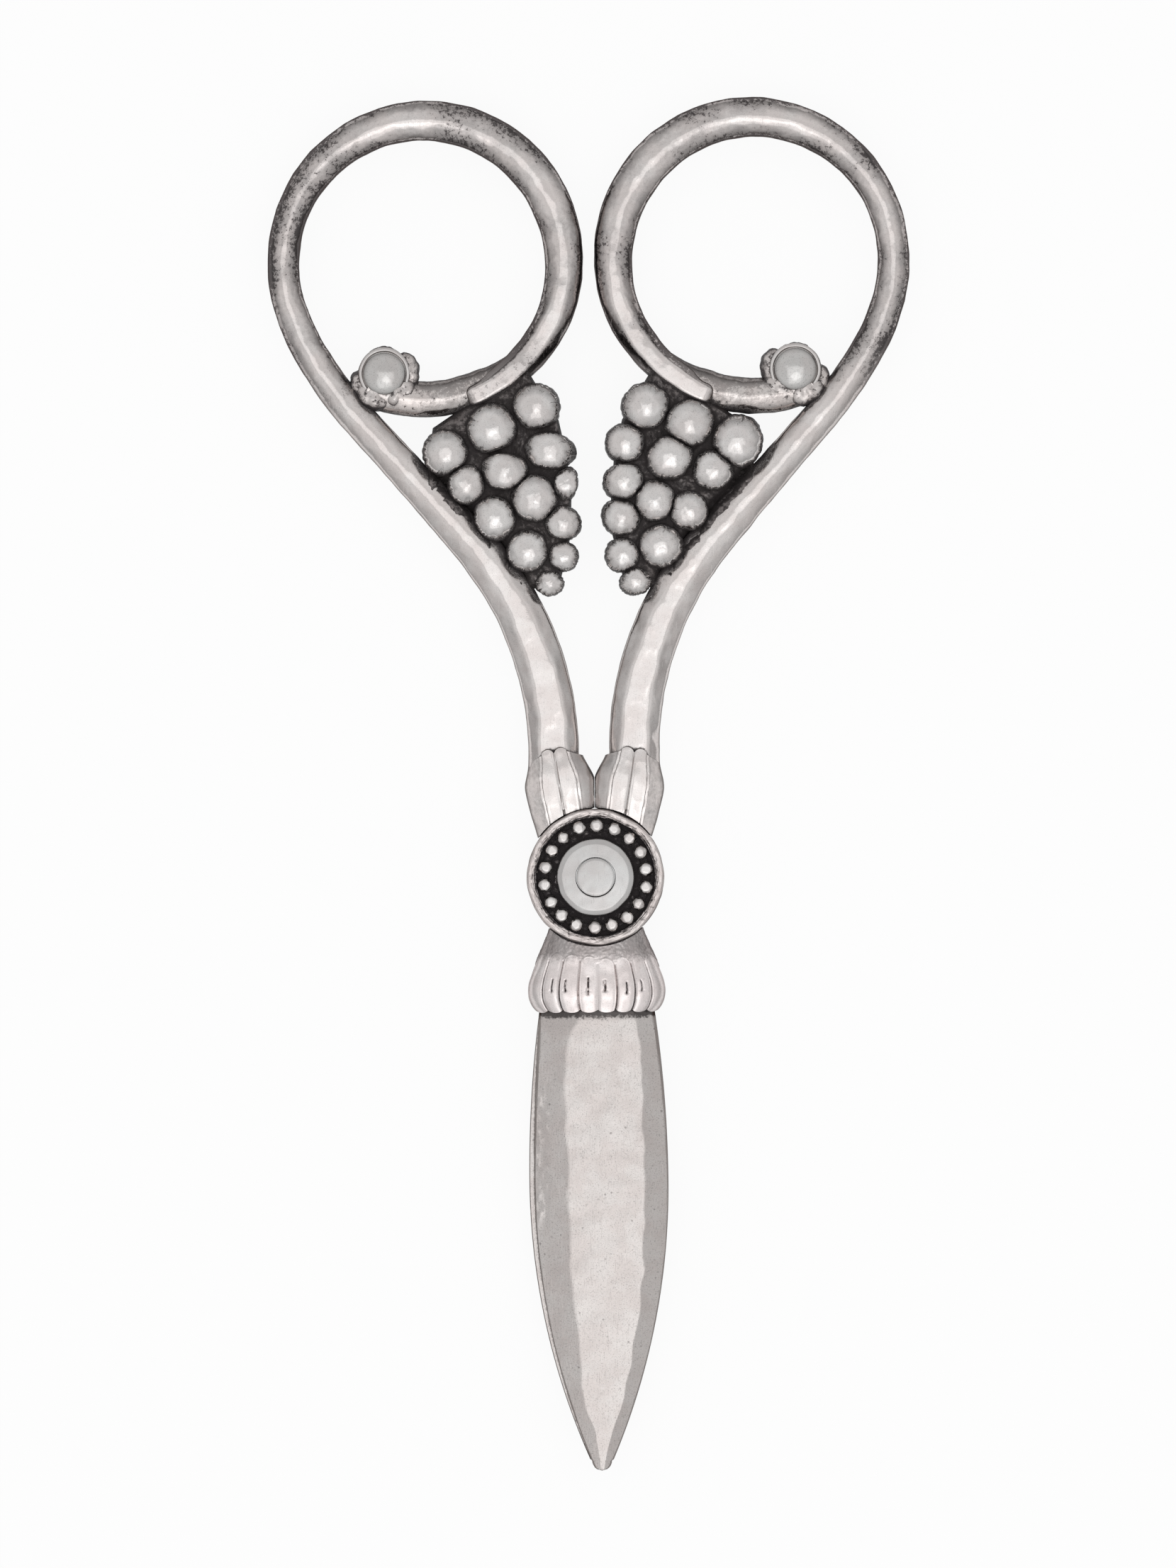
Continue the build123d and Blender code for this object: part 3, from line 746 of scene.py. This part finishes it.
# The core's side towards the other bunch, across and down
INNER_SIDE = ((0.10, 0.17), (0.045, 0.36), (0.025, 0.54), (0.03, 0.71), (0.09, 0.90))
CORE_HALF = 1.75
CORE_SKIN = ((wave, 0.28, 1.1), (wave, 0.2, 0.4))
CORE_STEP = 0.35
CORE_INSETS = 24
GROOVE_DEPTH = 1.5
GROOVE_PLACE = 2.55
GROOVE_WIDTH = 0.6


def in_bunch(across, down):
    corner_y = ring_centre()[1] - 0.9 * RING_RADIUS
    toe_y = STEM_FOOT + FOOT_LENGTH + BEND_RADIUS * sin(radians(STEM_LEAN * 0.7))
    return BUNCH_EDGE + BUNCH_WIDTH * across, corner_y - (corner_y - toe_y) * down


def grape_balls(shape, grapes, side, seed):
    placed = [(*in_bunch(g[0], g[1]), GRAPE_RADIUS * g[2]) for g in grapes]
    for k, ((*_, stretch, squash, degrees), (x, y, radius)) in enumerate(zip(grapes, placed)):
        walls = []
        for other, (ox, oy, oradius) in enumerate(placed):
            gap = hypot(ox - x, oy - y)
            if other != k and gap < 1.4 * (radius + oradius):
                walls.append(((ox - x) / gap, (oy - y) / gap, gap * radius / (radius + oradius)))
        turn = radians(degrees)

        def reach(d):
            u = d[0] * cos(turn) + d[1] * sin(turn)
            v = d[1] * cos(turn) - d[0] * sin(turn)
            level = hypot(u / stretch, v / squash)
            total = domed(d, level, *(share * radius for share in GRAPE_DOME)) ** -SQUEEZE
            for wx, wy, wall in walls:
                facing = d[0] * wx + d[1] * wy
                if facing > 0.2:
                    total += (facing / (1.02 * wall)) ** SQUEEZE
            # Short chased strokes round the rim
            rim = eased((0.84 - abs(d[2])) / 0.4)
            angle = atan2(d[1], d[0])
            stroke = noise.noise(Vector((7 * cos(angle) + 7 * k, 7 * sin(angle), seed + d[2])))
            skin = relief((3 * d[0] + 11 * k, 3 * d[1], 3 * d[2]), seed, GRAPE_SKIN)
            return total ** (-1 / SQUEEZE) + skin - STROKE_DEPTH * rim * max(stroke, -0.1)

        centre = (x, y, MID + side * (MID - GRAPE_RADIUS))
        shape.ball(centre, reach, rows=36, columns=72, side=side)


def grapes_of(grapes):
    def bunch_shape(seed):
        shape = Shape()
        for side in (1, -1):
            grape_balls(shape, grapes, side, seed)
        return shape

    return bunch_shape


def core_outline():
    rows = arm_line(0.5)
    bend_end = FOOT_LENGTH + radians(STEM_LEAN) * BEND_RADIUS
    tail_start = rows[-1][3] - radians(TAIL_TURN) * TAIL_RADIUS

    def on_arm(far):
        return min(rows, key=lambda row: abs(row[3] - far))[:2]

    toe = on_arm(FOOT_LENGTH + 0.7 * radians(STEM_LEAN) * BEND_RADIUS)
    tail = [on_arm(tail_start + s * radians(TAIL_TURN) * TAIL_RADIUS) for s in (0.85, 0.4)]
    return [in_bunch(0.10, 0.93), toe, on_arm(bend_end), on_arm(bend_end + 0.42 * run_length()),
            in_bunch(0.90, 0.20), *tail, *(in_bunch(*place) for place in INNER_SIDE)]


def core_shape(seed):
    corners = core_outline()
    edge = divided(corners + corners[:1], CORE_STEP)
    cx, cy = in_bunch(0.4, 0.45)
    rows = [row for row in arm_line(1.0) if 16 < row[3] < 72]
    insets = [i / CORE_INSETS for i in range(CORE_INSETS)]
    rings = []
    for side, order in ((1, insets[::-1]), (-1, insets)):
        for inset in order:
            ring = []
            for x, y in edge:
                px, py = x + (cx - x) * inset, y + (cy - y) * inset
                height = CORE_HALF * eased(0.45 + inset * 9)
                height += relief((px, py, side), seed, CORE_SKIN)
                # A deep groove beside the stem
                away = min(hypot(px - row[0], py - row[1]) for row in rows)
                away -= GROOVE_PLACE + 0.4 * wave((px, py, 0), 1.5, seed)
                height -= GROOVE_DEPTH * ridge(away, GROOVE_WIDTH) * min(inset * 8, 1)
                ring.append((px, py, MID + side * height))
            rings.append(ring)
    return Shape().skin(rings)


# Ferrule: a faceted barrel of petals from mouth to boss. Half widths, half depths and the
# borders of its petals across the front
FERRULE_WIDTHS = ((0, 3.15), (0.10, 3.28), (0.37, 4.25), (0.66, 3.95), (1.0, 3.3))
FERRULE_DEPTHS = ((0, 2.85), (0.36, 3.3), (0.65, 3.1), (1.0, 2.7))
BORDERS = (-1.5, -0.5, 0.02, 0.52, 1.5)
FERRULE_SKIN = ((hammered, 0.04, 1.5), (wave, 0.04, 1.6))
FERRULE_SINK = 0.02
FERRULE_POWER = 26
FERRULE_STEPS = 84
# Where a side panel meets the front, as shares of both halves
PANEL_ACROSS, PANEL_UP = 0.51, 0.94
PETAL_ROUND = 0.75
# The mouth's lip: how far in and how much thinner each row is
MOUTH_LIP = ((1.2, 0.75), (0.5, 0.62), (0.10, 0.40), (0.0, 0.18))


def ferrule_shape(seed):
    rings, angles = [], turns(176)
    ax, ay = -sin(radians(FERRULE_LEAN)), -cos(radians(FERRULE_LEAN))

    def planes_at(share, a, b):
        planes = [(0.0, a), (pi, a)]
        for up in (1, -1):
            tip = wave((12 * share, 5 * up, 0), 4.0, seed)
            planes += [(up * radians(95 + 2 * tip), 0.965 * b), (up * radians(84), 0.96 * b)]
            # Each side panel, from its border on top to near the flank
            for hand, low in ((1, 0.28), (-1, 0.50)):
                across, drop = (0.98 - PANEL_ACROSS) * a, (PANEL_UP - low) * b
                reach = drop * PANEL_ACROSS * a + across * PANEL_UP * b
                reach /= hypot(across, drop)
                planes.append((atan2(up * across, hand * drop), reach))
        return planes

    def point(angle, far):
        share = far / FERRULE_LENGTH
        a, b = between(FERRULE_WIDTHS, share), between(FERRULE_DEPTHS, share)
        r = facet_radius(planes_at(share, a, b), FERRULE_POWER, angle)
        across = r * cos(angle) / a
        # A groove with raised lips along each petal's border
        deep = 0.0
        for border in BORDERS[1:-1]:
            off = abs(across - border - 0.02 * wave((far, border, 0), 2.0, seed)) * a
            deep += 0.09 * ridge(off, 0.07) - 0.05 * ridge(off - 0.2, 0.10)
        r -= deep * eased(far / 0.8)
        r += relief((r * cos(angle), far, r * sin(angle)), seed, FERRULE_SKIN) - FERRULE_SINK
        if 7.5 < far < 10.0:
            off = abs(across - 0.02 - 0.05 * wave((far, 3, 1), 1.1, seed)) * a
            r -= 0.12 * ridge(off, 0.14)
        return r, across

    def mouth(across):
        """How far the mouth is cut back: round petals in front, slanting at the sides."""
        for low, high in zip(BORDERS, BORDERS[1:]):
            if low <= across <= high:
                if abs(low + high) > 1.5:
                    return 0.55 + 0.75 * max(2 * abs(across) - 1, 0.0)
                return PETAL_ROUND * sagitta((2 * across - low - high) / (high - low))
        return PETAL_ROUND

    def place(angle, far, shrink=0.0):
        r = point(angle, far)[0] - shrink
        u, v = r * cos(angle), r * sin(angle)
        x = STEM_OFFSET + ax * far - ay * u
        y = MOUTH_HEIGHT + ay * far + ax * u
        return max(x, 0.02), y, MID + v

    def clear(angle, far):
        x, y, _ = place(angle, min(far, FERRULE_LENGTH))
        return far <= FERRULE_LENGTH and hypot(x, y) > SWING_RADIUS and y > 0

    ends = [min(crossing(2.0, 1.3 * FERRULE_LENGTH, lambda far: clear(angle, far)), FERRULE_LENGTH)
            for angle in angles]
    starts = [mouth(point(angle, 0.3)[1]) for angle in angles]
    for drop, shrink in MOUTH_LIP:
        rings.append([place(p, start + drop, shrink) for p, start in zip(angles, starts)])
    for i in range(FERRULE_STEPS + 1):
        share = i / FERRULE_STEPS
        rings.append([place(p, start + 0.10 + (end - start - 0.10) * share)
                      for p, start, end in zip(angles, starts, ends)])
    return Shape().skin(rings)


# Collar: a fluted skirt from the boss to the blade. Half width and height at each drop, and
# the valleys between its flutes
COLLAR_WIDTHS = ((4.0, 4.95), (7.0, 5.95), (10.0, 7.25), (13.6, 8.3), (15.4, 7.85), (16.3, 7.05))
COLLAR_HEIGHTS = ((4.0, 2.75), (11.0, 3.25), (13.9, 3.5), (16.2, 3.1))
VALLEYS = (-1.0, -0.79, -0.55, -0.27, 0.01, 0.3, 0.56, 0.8, 1.0)
LAST_FLUTE = len(VALLEYS) - 2
SQUARENESS = 2 / 2.6
FLUTE_TOP = 9.1
FLUTE_ARCH = 1.2
FLUTE_SHARE = 0.13
SLOT_DROP = 13.0
COLLAR_STEPS = 110
COLLAR_COLUMNS = 260
# The lip's underside: how far up and how far in each row is
COLLAR_LIP = ((0.0, 0.14), (-0.06, 0.34), (-0.3, 0.62), (-0.8, 0.8))


def spread(p):
    """Shares of half width and height in a direction on the collar's section."""
    c, s = cos(p), max(sin(p), 0.0)
    return abs(c) ** SQUARENESS * (1 if c > 0 else -1), s**SQUARENESS


def flute(across):
    """Which flute a place is on, and its place across it, from -1 to 1."""
    for k, (low, high) in enumerate(zip(VALLEYS, VALLEYS[1:])):
        if low <= across <= high or k == LAST_FLUTE:
            return k, max(-1.0, min(1.0, (2 * across - low - high) / (high - low)))


def collar_shape(seed):
    # The shank's face stands a little proud of the collar's
    floor = MID + EYE_FLOOR + 0.06

    def place(p, drop, inward=0.0):
        half, height = between(COLLAR_WIDTHS, drop), between(COLLAR_HEIGHTS, drop)
        across, up = spread(p)
        k, q = flute(across)
        below = drop - FLUTE_TOP + 1.2 * wave((k, 0, 0), 0.8, seed) - FLUTE_ARCH * sagitta(q)
        grow = eased(below / 0.35 + 0.5)
        edge = min((1 - abs(q)) * half * FLUTE_SHARE, abs(below))
        fat = eased((drop - 10.0) / 5.0)
        bulge = ((0.12 + 0.12 * fat) * (1 - abs(q) ** 4) - 0.08) * grow
        bulge -= (0.05 + 0.05 * fat) * grow * ridge(edge, 0.06)
        bulge += 0.05 * grow * ridge(edge - 0.17, 0.07)
        # A short chased slot in each front flute
        if 0 < k < LAST_FLUTE:
            middle = SLOT_DROP + 0.5 * wave((k, 2, 0), 0.7, seed)
            off = q + 0.15 + 0.5 * wave((k, 0, 3), 0.8, seed) + 0.1 * wave((k, drop, 0), 0.5, seed)
            off *= half * FLUTE_SHARE
            long = 0.95 + 0.5 * wave((k, 5, 0), 0.7, seed)
            bulge -= 0.26 * ridge(off, 0.085) * eased((long - abs(drop - middle)) / 0.3)
            bulge -= 0.10 * ridge(off, 0.22) * ridge(drop - middle - 0.6, 0.12)
        spot = (half * across, drop, height * up)
        bulge += 0.05 * wave(spot, 1.3, seed) + 0.05 * (1 - grow) * wave(spot, 0.28, seed) - inward
        length = hypot(across, up) or 1.0
        z = height * up + bulge * up / length
        return half * across + bulge * across / length, -drop, floor + max(z, 0.0)

    def under_boss(p, drop):
        x, y, _ = place(p, drop)
        return hypot(x, y) < SWING_RADIUS

    angles = [pi * j / (COLLAR_COLUMNS - 1) for j in range(COLLAR_COLUMNS)]
    starts = [crossing(4.0, 9.0, lambda drop: under_boss(p, drop)) for p in angles]
    ends = [SHOULDER_DROP - 0.5 * sagitta(flute(spread(p)[0])[1]) for p in angles]
    rings = []
    for i in range(COLLAR_STEPS + 1):
        share = i / COLLAR_STEPS
        rings.append([place(p, s + (e - s) * share) for p, s, e in zip(angles, starts, ends)])
    for lift, inward in COLLAR_LIP:
        rings.append([place(p, e + lift, inward) for p, e in zip(angles, ends)])
    # The flat inner side
    return Shape().skin(
        [ring + [(x * 0.9, y, floor) for x, y, _ in reversed(ring[1:-1:6])] for ring in rings]
    )


# Blade: a hammered leaf with its eye, shank and tang. Heights of the leaf's widest place, its
# rounded tip and the point where its sides would meet
LEAF_WIDEST = -36.5
LEAF_TIP = -71.25
LEAF_POINT = -73.0
TIP_RADIUS = 1.2
# Half widths: at the root, and at the widest on each side
ROOT_HALF = 6.85
RIGHT_HALF = 8.35
LEFT_HALF = 7.75
LEAF_STEPS = 330
LEAF_COLUMNS = 96
# Thickness at the root, and what it loses down to the tip
CROWN = 2.35
CROWN_LOSS = 1.2
LEAF_EDGE = 0.25
EYE_RADIUS = 7.9
SHANK_HALF = 4.1
TANG_HALF = 1.8
TANG_START = 7.0
TANG_END = 12.2
# Keeps the shank's and the tang's faces off the eye's
SHIM = 0.015


def leaf_half(y, half):
    """Half width of the leaf at a height on one side."""
    along = y - LEAF_WIDEST
    if along > 0:
        step, length = half - ROOT_HALF, LEAF_TOP - LEAF_WIDEST
    else:
        step, length = half, LEAF_WIDEST - LEAF_POINT
    radius = (step * step + length * length) / (2 * step)
    width = half - radius + sqrt(max(radius * radius - along * along, 0.0))
    tip = y - LEAF_TIP
    if tip < 1.3:
        cap = sqrt(max(TIP_RADIUS**2 - max(TIP_RADIUS - tip, 0.0) ** 2, 0.0))
        width = min(width, cap + max(tip - TIP_RADIUS, 0.0) * 0.4)
    return max(width, 0.02)


def leaf_shape(seed):
    rings, floor = [], MID + EYE_FLOOR
    for i in range(LEAF_STEPS + 1):
        y = LEAF_TOP + (LEAF_TIP - LEAF_TOP) * i / LEAF_STEPS
        right, left = leaf_half(y, RIGHT_HALF), leaf_half(y, LEFT_HALF)
        crown = min(CROWN - CROWN_LOSS * (-SHOULDER_DROP - y) / 56.8, CROWN)
        # Panel borders wander, and close in towards the tip
        r_edge = right * (0.66 + 0.03 * wave((y, 0, 0), 9.0, seed))
        r_edge += 0.35 * wave((y, 3, 0), 2.4, seed)
        l_edge = left * (0.48 + 0.05 * wave((y, 5, 0), 12.0, seed))
        l_edge += 0.40 * wave((y, 7, 0), 2.6, seed)
        narrow = 0.4 + 0.6 * eased((y + 71.0) / 9.0)
        l_edge *= narrow * (1 - 0.35 * eased((y + 19.5) / 3.0))
        r_edge *= narrow
        ring = []
        for j in range(LEAF_COLUMNS + 1):
            t = -1 + 2 * j / LEAF_COLUMNS
            t *= 1.45 - 0.45 * t * t
            x = t * (right if t > 0 else left)
            rim = (right - x) if x > 0 else (left + x)
            z = crown - 0.0012 * x * x
            z -= 0.36 * max(x - r_edge, 0.0) + 0.25 * max(-x - l_edge, 0.0)
            z = min(z, (0.30 if x > 0 else 0.35) + 3.2 * rim)
            # Flakes along the upper part of the left edge
            flaked = eased((1.9 - left - x) / 0.7) * eased((y + 43) / 3) * eased((-24 - y) / 2)
            z += 0.16 * flaked * (hammered((x, y, 0), 1.0, seed) - 0.45)
            z += 0.05 * hammered((x, y * 0.7, 0), 4.2, seed + 2) - 0.02
            z += 0.03 * wave((x, y, 0), 2.2, seed)
            z -= 0.06 * eased((y + 17.2) / 0.9)
            ring.append((x, y, floor + max(z, LEAF_EDGE if rim > 0.01 else 0.2)))
        ring[0] = (-left, y, floor + LEAF_EDGE)
        ring[-1] = (right, y, floor + LEAF_EDGE)
        under = [(x, y, floor) for x, _, _ in reversed(ring[2:-2:4])]
        under[0] = (right - 0.12, y, floor)
        under[-1] = (-left + 0.12, y, floor)
        rings.append(ring + under)
    return Shape().skin(rings)


def slab(shape, start, end, half, high, seed):
    """A bar with soft edges between two places, up to a height."""
    (x0, y0), (x1, y1) = start, end
    heading, low = atan2(x1 - x0, y1 - y0), EYE_FLOOR + SHIM
    corners = [(0, low), (half, low), (half, high), (-half, high), (-half, low), (0, low)]
    section = rounded(corners, 0.18, 3)[:-1]
    count = ceil(hypot(x1 - x0, y1 - y0) / 0.5)
    rings = []
    for i in range(count + 1):
        x, y = x0 + (x1 - x0) * i / count, y0 + (y1 - y0) * i / count
        here = [(u + 0.03 * wave((i * 0.5, v, u), 2.0, seed), v) for u, v in section]
        rings.append(rod_ring(x, y, heading, here))
    shape.skin(rings)


def blade_shape(seed):
    shape = leaf_shape(seed)
    corners = [(BORE_RADIUS, 1.1), (BORE_RADIUS, EYE_FLOOR), (EYE_RADIUS, EYE_FLOOR),
               (EYE_RADIUS, EYE_TOP), (BORE_RADIUS, EYE_TOP), (BORE_RADIUS, 1.1)]

    def uneven(p, r, z):
        return (0.03 * wave(polar(3, p, z), 1.0, seed) if r > 7 else 0.0), 0.0

    shape.loop(revolved(rounded(corners, 0.12)[:-1], 120, uneven))
    slab(shape, (0, -TANG_START), (0, -15.6), SHANK_HALF, EYE_TOP, seed)
    # The tang runs from the eye into the ferrule's middle
    lean, half_way = radians(FERRULE_LEAN), FERRULE_LENGTH / 2
    aim = Vector((STEM_OFFSET - sin(lean) * half_way, MOUTH_HEIGHT - cos(lean) * half_way))
    aim.normalize()
    slab(shape, aim * TANG_START, aim * TANG_END, TANG_HALF, EYE_TOP - SHIM, seed)
    return shape


# Pivot: boss, beads, washers and rivet, as (radius, height) sections
BOSS = (
    (BORE_RADIUS, 2.5), (BORE_RADIUS, EYE_TOP), (BOSS_RADIUS, EYE_TOP), (BOSS_RADIUS, 3.30),
    (8.08, 3.52), (7.90, 3.64), (7.52, 3.60), (7.26, 3.48), (7.14, 3.20), (7.14, PLATE_TOP),
    (BORE_RADIUS, PLATE_TOP), (BORE_RADIUS, 2.5),
)
CHANNEL = ((4.2, 2.55), (4.2, 2.79), (7.06, 2.80), (7.13, 3.36), (7.30, 3.36), (7.30, 2.55))
BEAD_WIRE = (
    (5.65, PLATE_TOP - 0.05), (5.68, 2.98), (5.85, 3.09), (6.35, 3.09), (6.52, 2.98),
    (6.55, PLATE_TOP - 0.05),
)
WASHER = (
    (WASHER_BORE, 3.2), (WASHER_BORE, PLATE_TOP), (WASHER_RADIUS, PLATE_TOP),
    (WASHER_RADIUS + 0.08, 3.45), (4.55, 3.68), (4.0, 3.90), (WASHER_BORE + 0.06, 3.955),
    (WASHER_BORE, 3.88), (WASHER_BORE, 3.2),
)
RIVET_END = (
    (2.29, 2.0), (2.29, 3.78), (2.27, 3.88), (2.18, 3.93), (1.9, 3.945), (1.3, 3.952),
    (0.7, 3.956), (0.15, 3.958),
)
BEAD_SINK = 0.25


def boss_shape(seed):
    def uneven(p, r, z):
        if r > 7.1 and z > 2.6:
            inner = eased((7.9 - r) / 0.6)
            pitted = wave(polar(8, p, 4 * r), 0.45, seed)
            across = 0.16 * wave(polar(4, p, 0), 1.1, seed)
            return across, (0.06 + 0.10 * inner) * pitted - 0.03
        if z > 2.6 and r > 4:
            return 0.0, 0.10 * wave(polar(r, p, 0), 0.5, seed)
        return 0.0, 0.0

    return Shape().loop(revolved(divided(rounded(BOSS, 0.16), 0.3, rise=0), 180, uneven))


def channel_shape(seed):
    """The black floor of the boss."""
    def uneven(p, r, z):
        rough = polar(r, p, z)
        return (0.03 * wave(rough, 0.5, seed) if r > 7.0 else 0.0), 0.06 * wave(rough, 0.6, seed)

    return Shape().loop(revolved(divided(CHANNEL + CHANNEL[:1], 0.2), 200, uneven))


def bead_wire_shape(seed):
    def uneven(p, r, z):
        spot = polar(6, p, r)
        return 0.08 * wave(spot, 0.8, seed), 0.12 * wave(spot, 0.6, seed)

    return Shape().loop(revolved(BEAD_WIRE, 160, uneven))


def beads_shape(seed):
    shape = Shape()
    for k in range(BEAD_COUNT):
        p = radians(BEAD_TURN + 360 / BEAD_COUNT * k) + 0.03 * wave((k, 0, 0), 0.7, seed)
        ring = BEAD_CIRCLE + 0.12 * wave((k, 4, 0), 0.7, seed)
        radius = BEAD_RADIUS * (1.17 + 0.08 * wave((k, 8, 0), 0.7, seed))

        def reach(d):
            swell = 1 + 0.10 * wave((2 * d[0] + 5 * k, 2 * d[1], 2 * d[2]), 1.0, seed)
            return radius * swell - 0.015 * hammered((d[0] + 5 * k, d[1], d[2]), 0.7, seed)

        centre = polar(ring, p, MID + PLATE_TOP + BEAD_RADIUS - BEAD_SINK)
        shape.ball(centre, reach, rows=20, columns=30)
    return shape


def washer_shape(seed):
    def uneven(p, r, z):
        if z < 3.0 or r < 2.5:
            return 0.0, 0.0
        spot = polar(r, p, 0)
        out = 0.07 * wave(spot, 1.6, seed) if r > 4 else 0.0
        return out, 0.02 * wave(spot, 1.4, seed) - 0.008

    return Shape().loop(revolved(divided(rounded(WASHER, 0.10), 0.2, rise=0), 144, uneven))


def rivet_shape(seed):
    def uneven(p, r, z):
        if abs(z) < 3.9:
            return 0.0, 0.0
        dark_band = 0.03 * wave(polar(r, p, z), 1.2, seed) - 0.01
        return 0.0, dark_band * (1 if z > 0 else -1)

    profile = [*mirrored(RIVET_END), (RIVET_END[0][0], 0.0), *RIVET_END]
    return Shape().skin(revolved(profile, 96, uneven))


bpy.context.scene.view_settings.view_transform = "Standard"
make_camera()
make_world()
make_floor()
for lamp in LAMPS:
    area_light(*lamp)

# Tone, roughness, shelter that turns black, and what else differs: the four material slots,
# then what some pieces have instead
SILVERS = {
    "rod_silver": ((0.70, 0.665, 0.65), 0.15, (0.25, 0.46), dict(
        flank=(0.22, 0.85, 0.6), specks=0.5, blots=0.235, reach=2.0)),
    "fruit_silver": ((0.67, 0.65, 0.64), 0.16, (0.38, 0.74), dict(
        mottle=1.4, black=(0.34, 0.56), specks=0.6, reach=1.0, chased=1.2,
        ink=(0.060, 0.053, 0.053))),
    "chased_silver": ((0.69, 0.64, 0.63), 0.26, (0.36, 0.62), dict(
        flank=(0.40, 1.1, 0.5), specks=0.4, reach=1.0)),
    # The blade's zone is a painted shadow under the collar's lip
    "blade_silver": ((0.52, 0.49, 0.475), 0.25, (0.44, 0.66), dict(
        flank=(0.05, 0.6, 0.25), pits=0.5, brushed=1.4, specks=1.0,
        zone=(-16.2, 0.85, 1.7, 0.93))),
    "blackened": ((0.17, 0.155, 0.152), 0.30, (0.0, 0.30), dict(
        mottle=1.4, black=(0.2, 0.6), reach=2.5, ink=(0.042, 0.037, 0.037))),
    "pan_black": ((0.22, 0.20, 0.20), 0.35, (0.02, 0.30), dict(
        mottle=1.4, black=(0.2, 0.6), reach=2.5, ink=(0.030, 0.026, 0.027))),
    "rim_silver": ((0.62, 0.575, 0.56), 0.27, (0.20, 0.50), dict(
        mottle=1.7, flank=(0.2, 0.9, 0.6), specks=0.5)),
    "collar_silver": ((0.76, 0.71, 0.70), 0.26, (0.36, 0.62), dict(
        flank=(0.28, 0.95, 0.6), specks=0.6, reach=1.0, zone=(-7.4, 3.1, 2.6, 0.55))),
    "mottled": ((0.66, 0.62, 0.60), 0.17, (0.24, 0.48), dict(
        mottle=2.0, black=(0.34, 0.66), specks=0.5, blots=0.02)),
    "leafy": ((0.58, 0.545, 0.53), 0.22, (0.10, 0.40), dict(mottle=2.4, black=(0.14, 0.50))),
    "ferrule_silver": ((0.70, 0.665, 0.65), 0.17, (0.34, 0.56), dict(
        flank=(0.20, 0.62, 0.75), specks=0.4)),
    "washer_silver": ((0.50, 0.495, 0.49), 0.24, (0.30, 0.52), dict(specks=0.2)),
    "bead_silver": ((0.62, 0.60, 0.59), 0.16, (0.62, 0.85), dict(
        black=(0.62, 0.85), specks=0.1, reach=0.6)),
    "berry_silver": ((0.55, 0.54, 0.53), 0.17, (0.60, 0.80), dict(specks=0.8, reach=0.5)),
}
silvers = {name: silver(name, *look, **more) for name, (*look, more) in SILVERS.items()}
slots = {part["node"]: part["material_slot"] for part in frame["record"]["subparts"]}
bodies = frame["record"]["behaviour"]["bodies"]
lever_of = {node: body for body, members in bodies.items() for node in members}
# Name, CAD node, form and look of each piece; None takes the slot's
LEVER_PIECES = (
    ("stem_and_ring", "arm", arm_shape, None),
    ("tendril_rod", "tendril", tendril_shape, "mottled"),
    ("berry_ball", "berry", berry_shape, "berry_silver"),
    ("berry_bezel", "calyx", calyx_shape, "bead_silver"),
    ("berry_petals", "calyx", petals_shape, "leafy"),
    ("grapes", "grape_cluster",
     {"right": grapes_of(RIGHT_GRAPES), "left": grapes_of(LEFT_GRAPES)}, None),
    ("bunch_core", "grape_cluster", core_shape, "blackened"),
    ("ferrule_petals", "ferrule", ferrule_shape, "ferrule_silver"),
    ("fluted_collar", "collar", collar_shape, "collar_silver"),
    ("blade_leaf", "blade", blade_shape, None),
)
PIVOT_PIECES = (
    ("boss_rim", "boss", boss_shape, "rim_silver"),
    ("boss_channel", "boss", channel_shape, "pan_black"),
    ("bead_wire", "bead_ring", bead_wire_shape, "pan_black"),
    ("beads", "bead_ring", beads_shape, "bead_silver"),
    ("rivet_washer", "washer", washer_shape, "washer_silver"),
)

seed = 3.0
for sides, pieces in ((("right", "left"), LEVER_PIECES), (("front", "back"), PIVOT_PIECES)):
    for side in sides:
        for name, kind, make, look in pieces:
            seed += 1.7
            form = make[side] if isinstance(make, dict) else make
            form(seed).build(f"{side}_{name}", side, f"{side}_{kind}", look)
rivet_shape(seed).build("rivet_pin", "right", "rivet", "washer_silver")
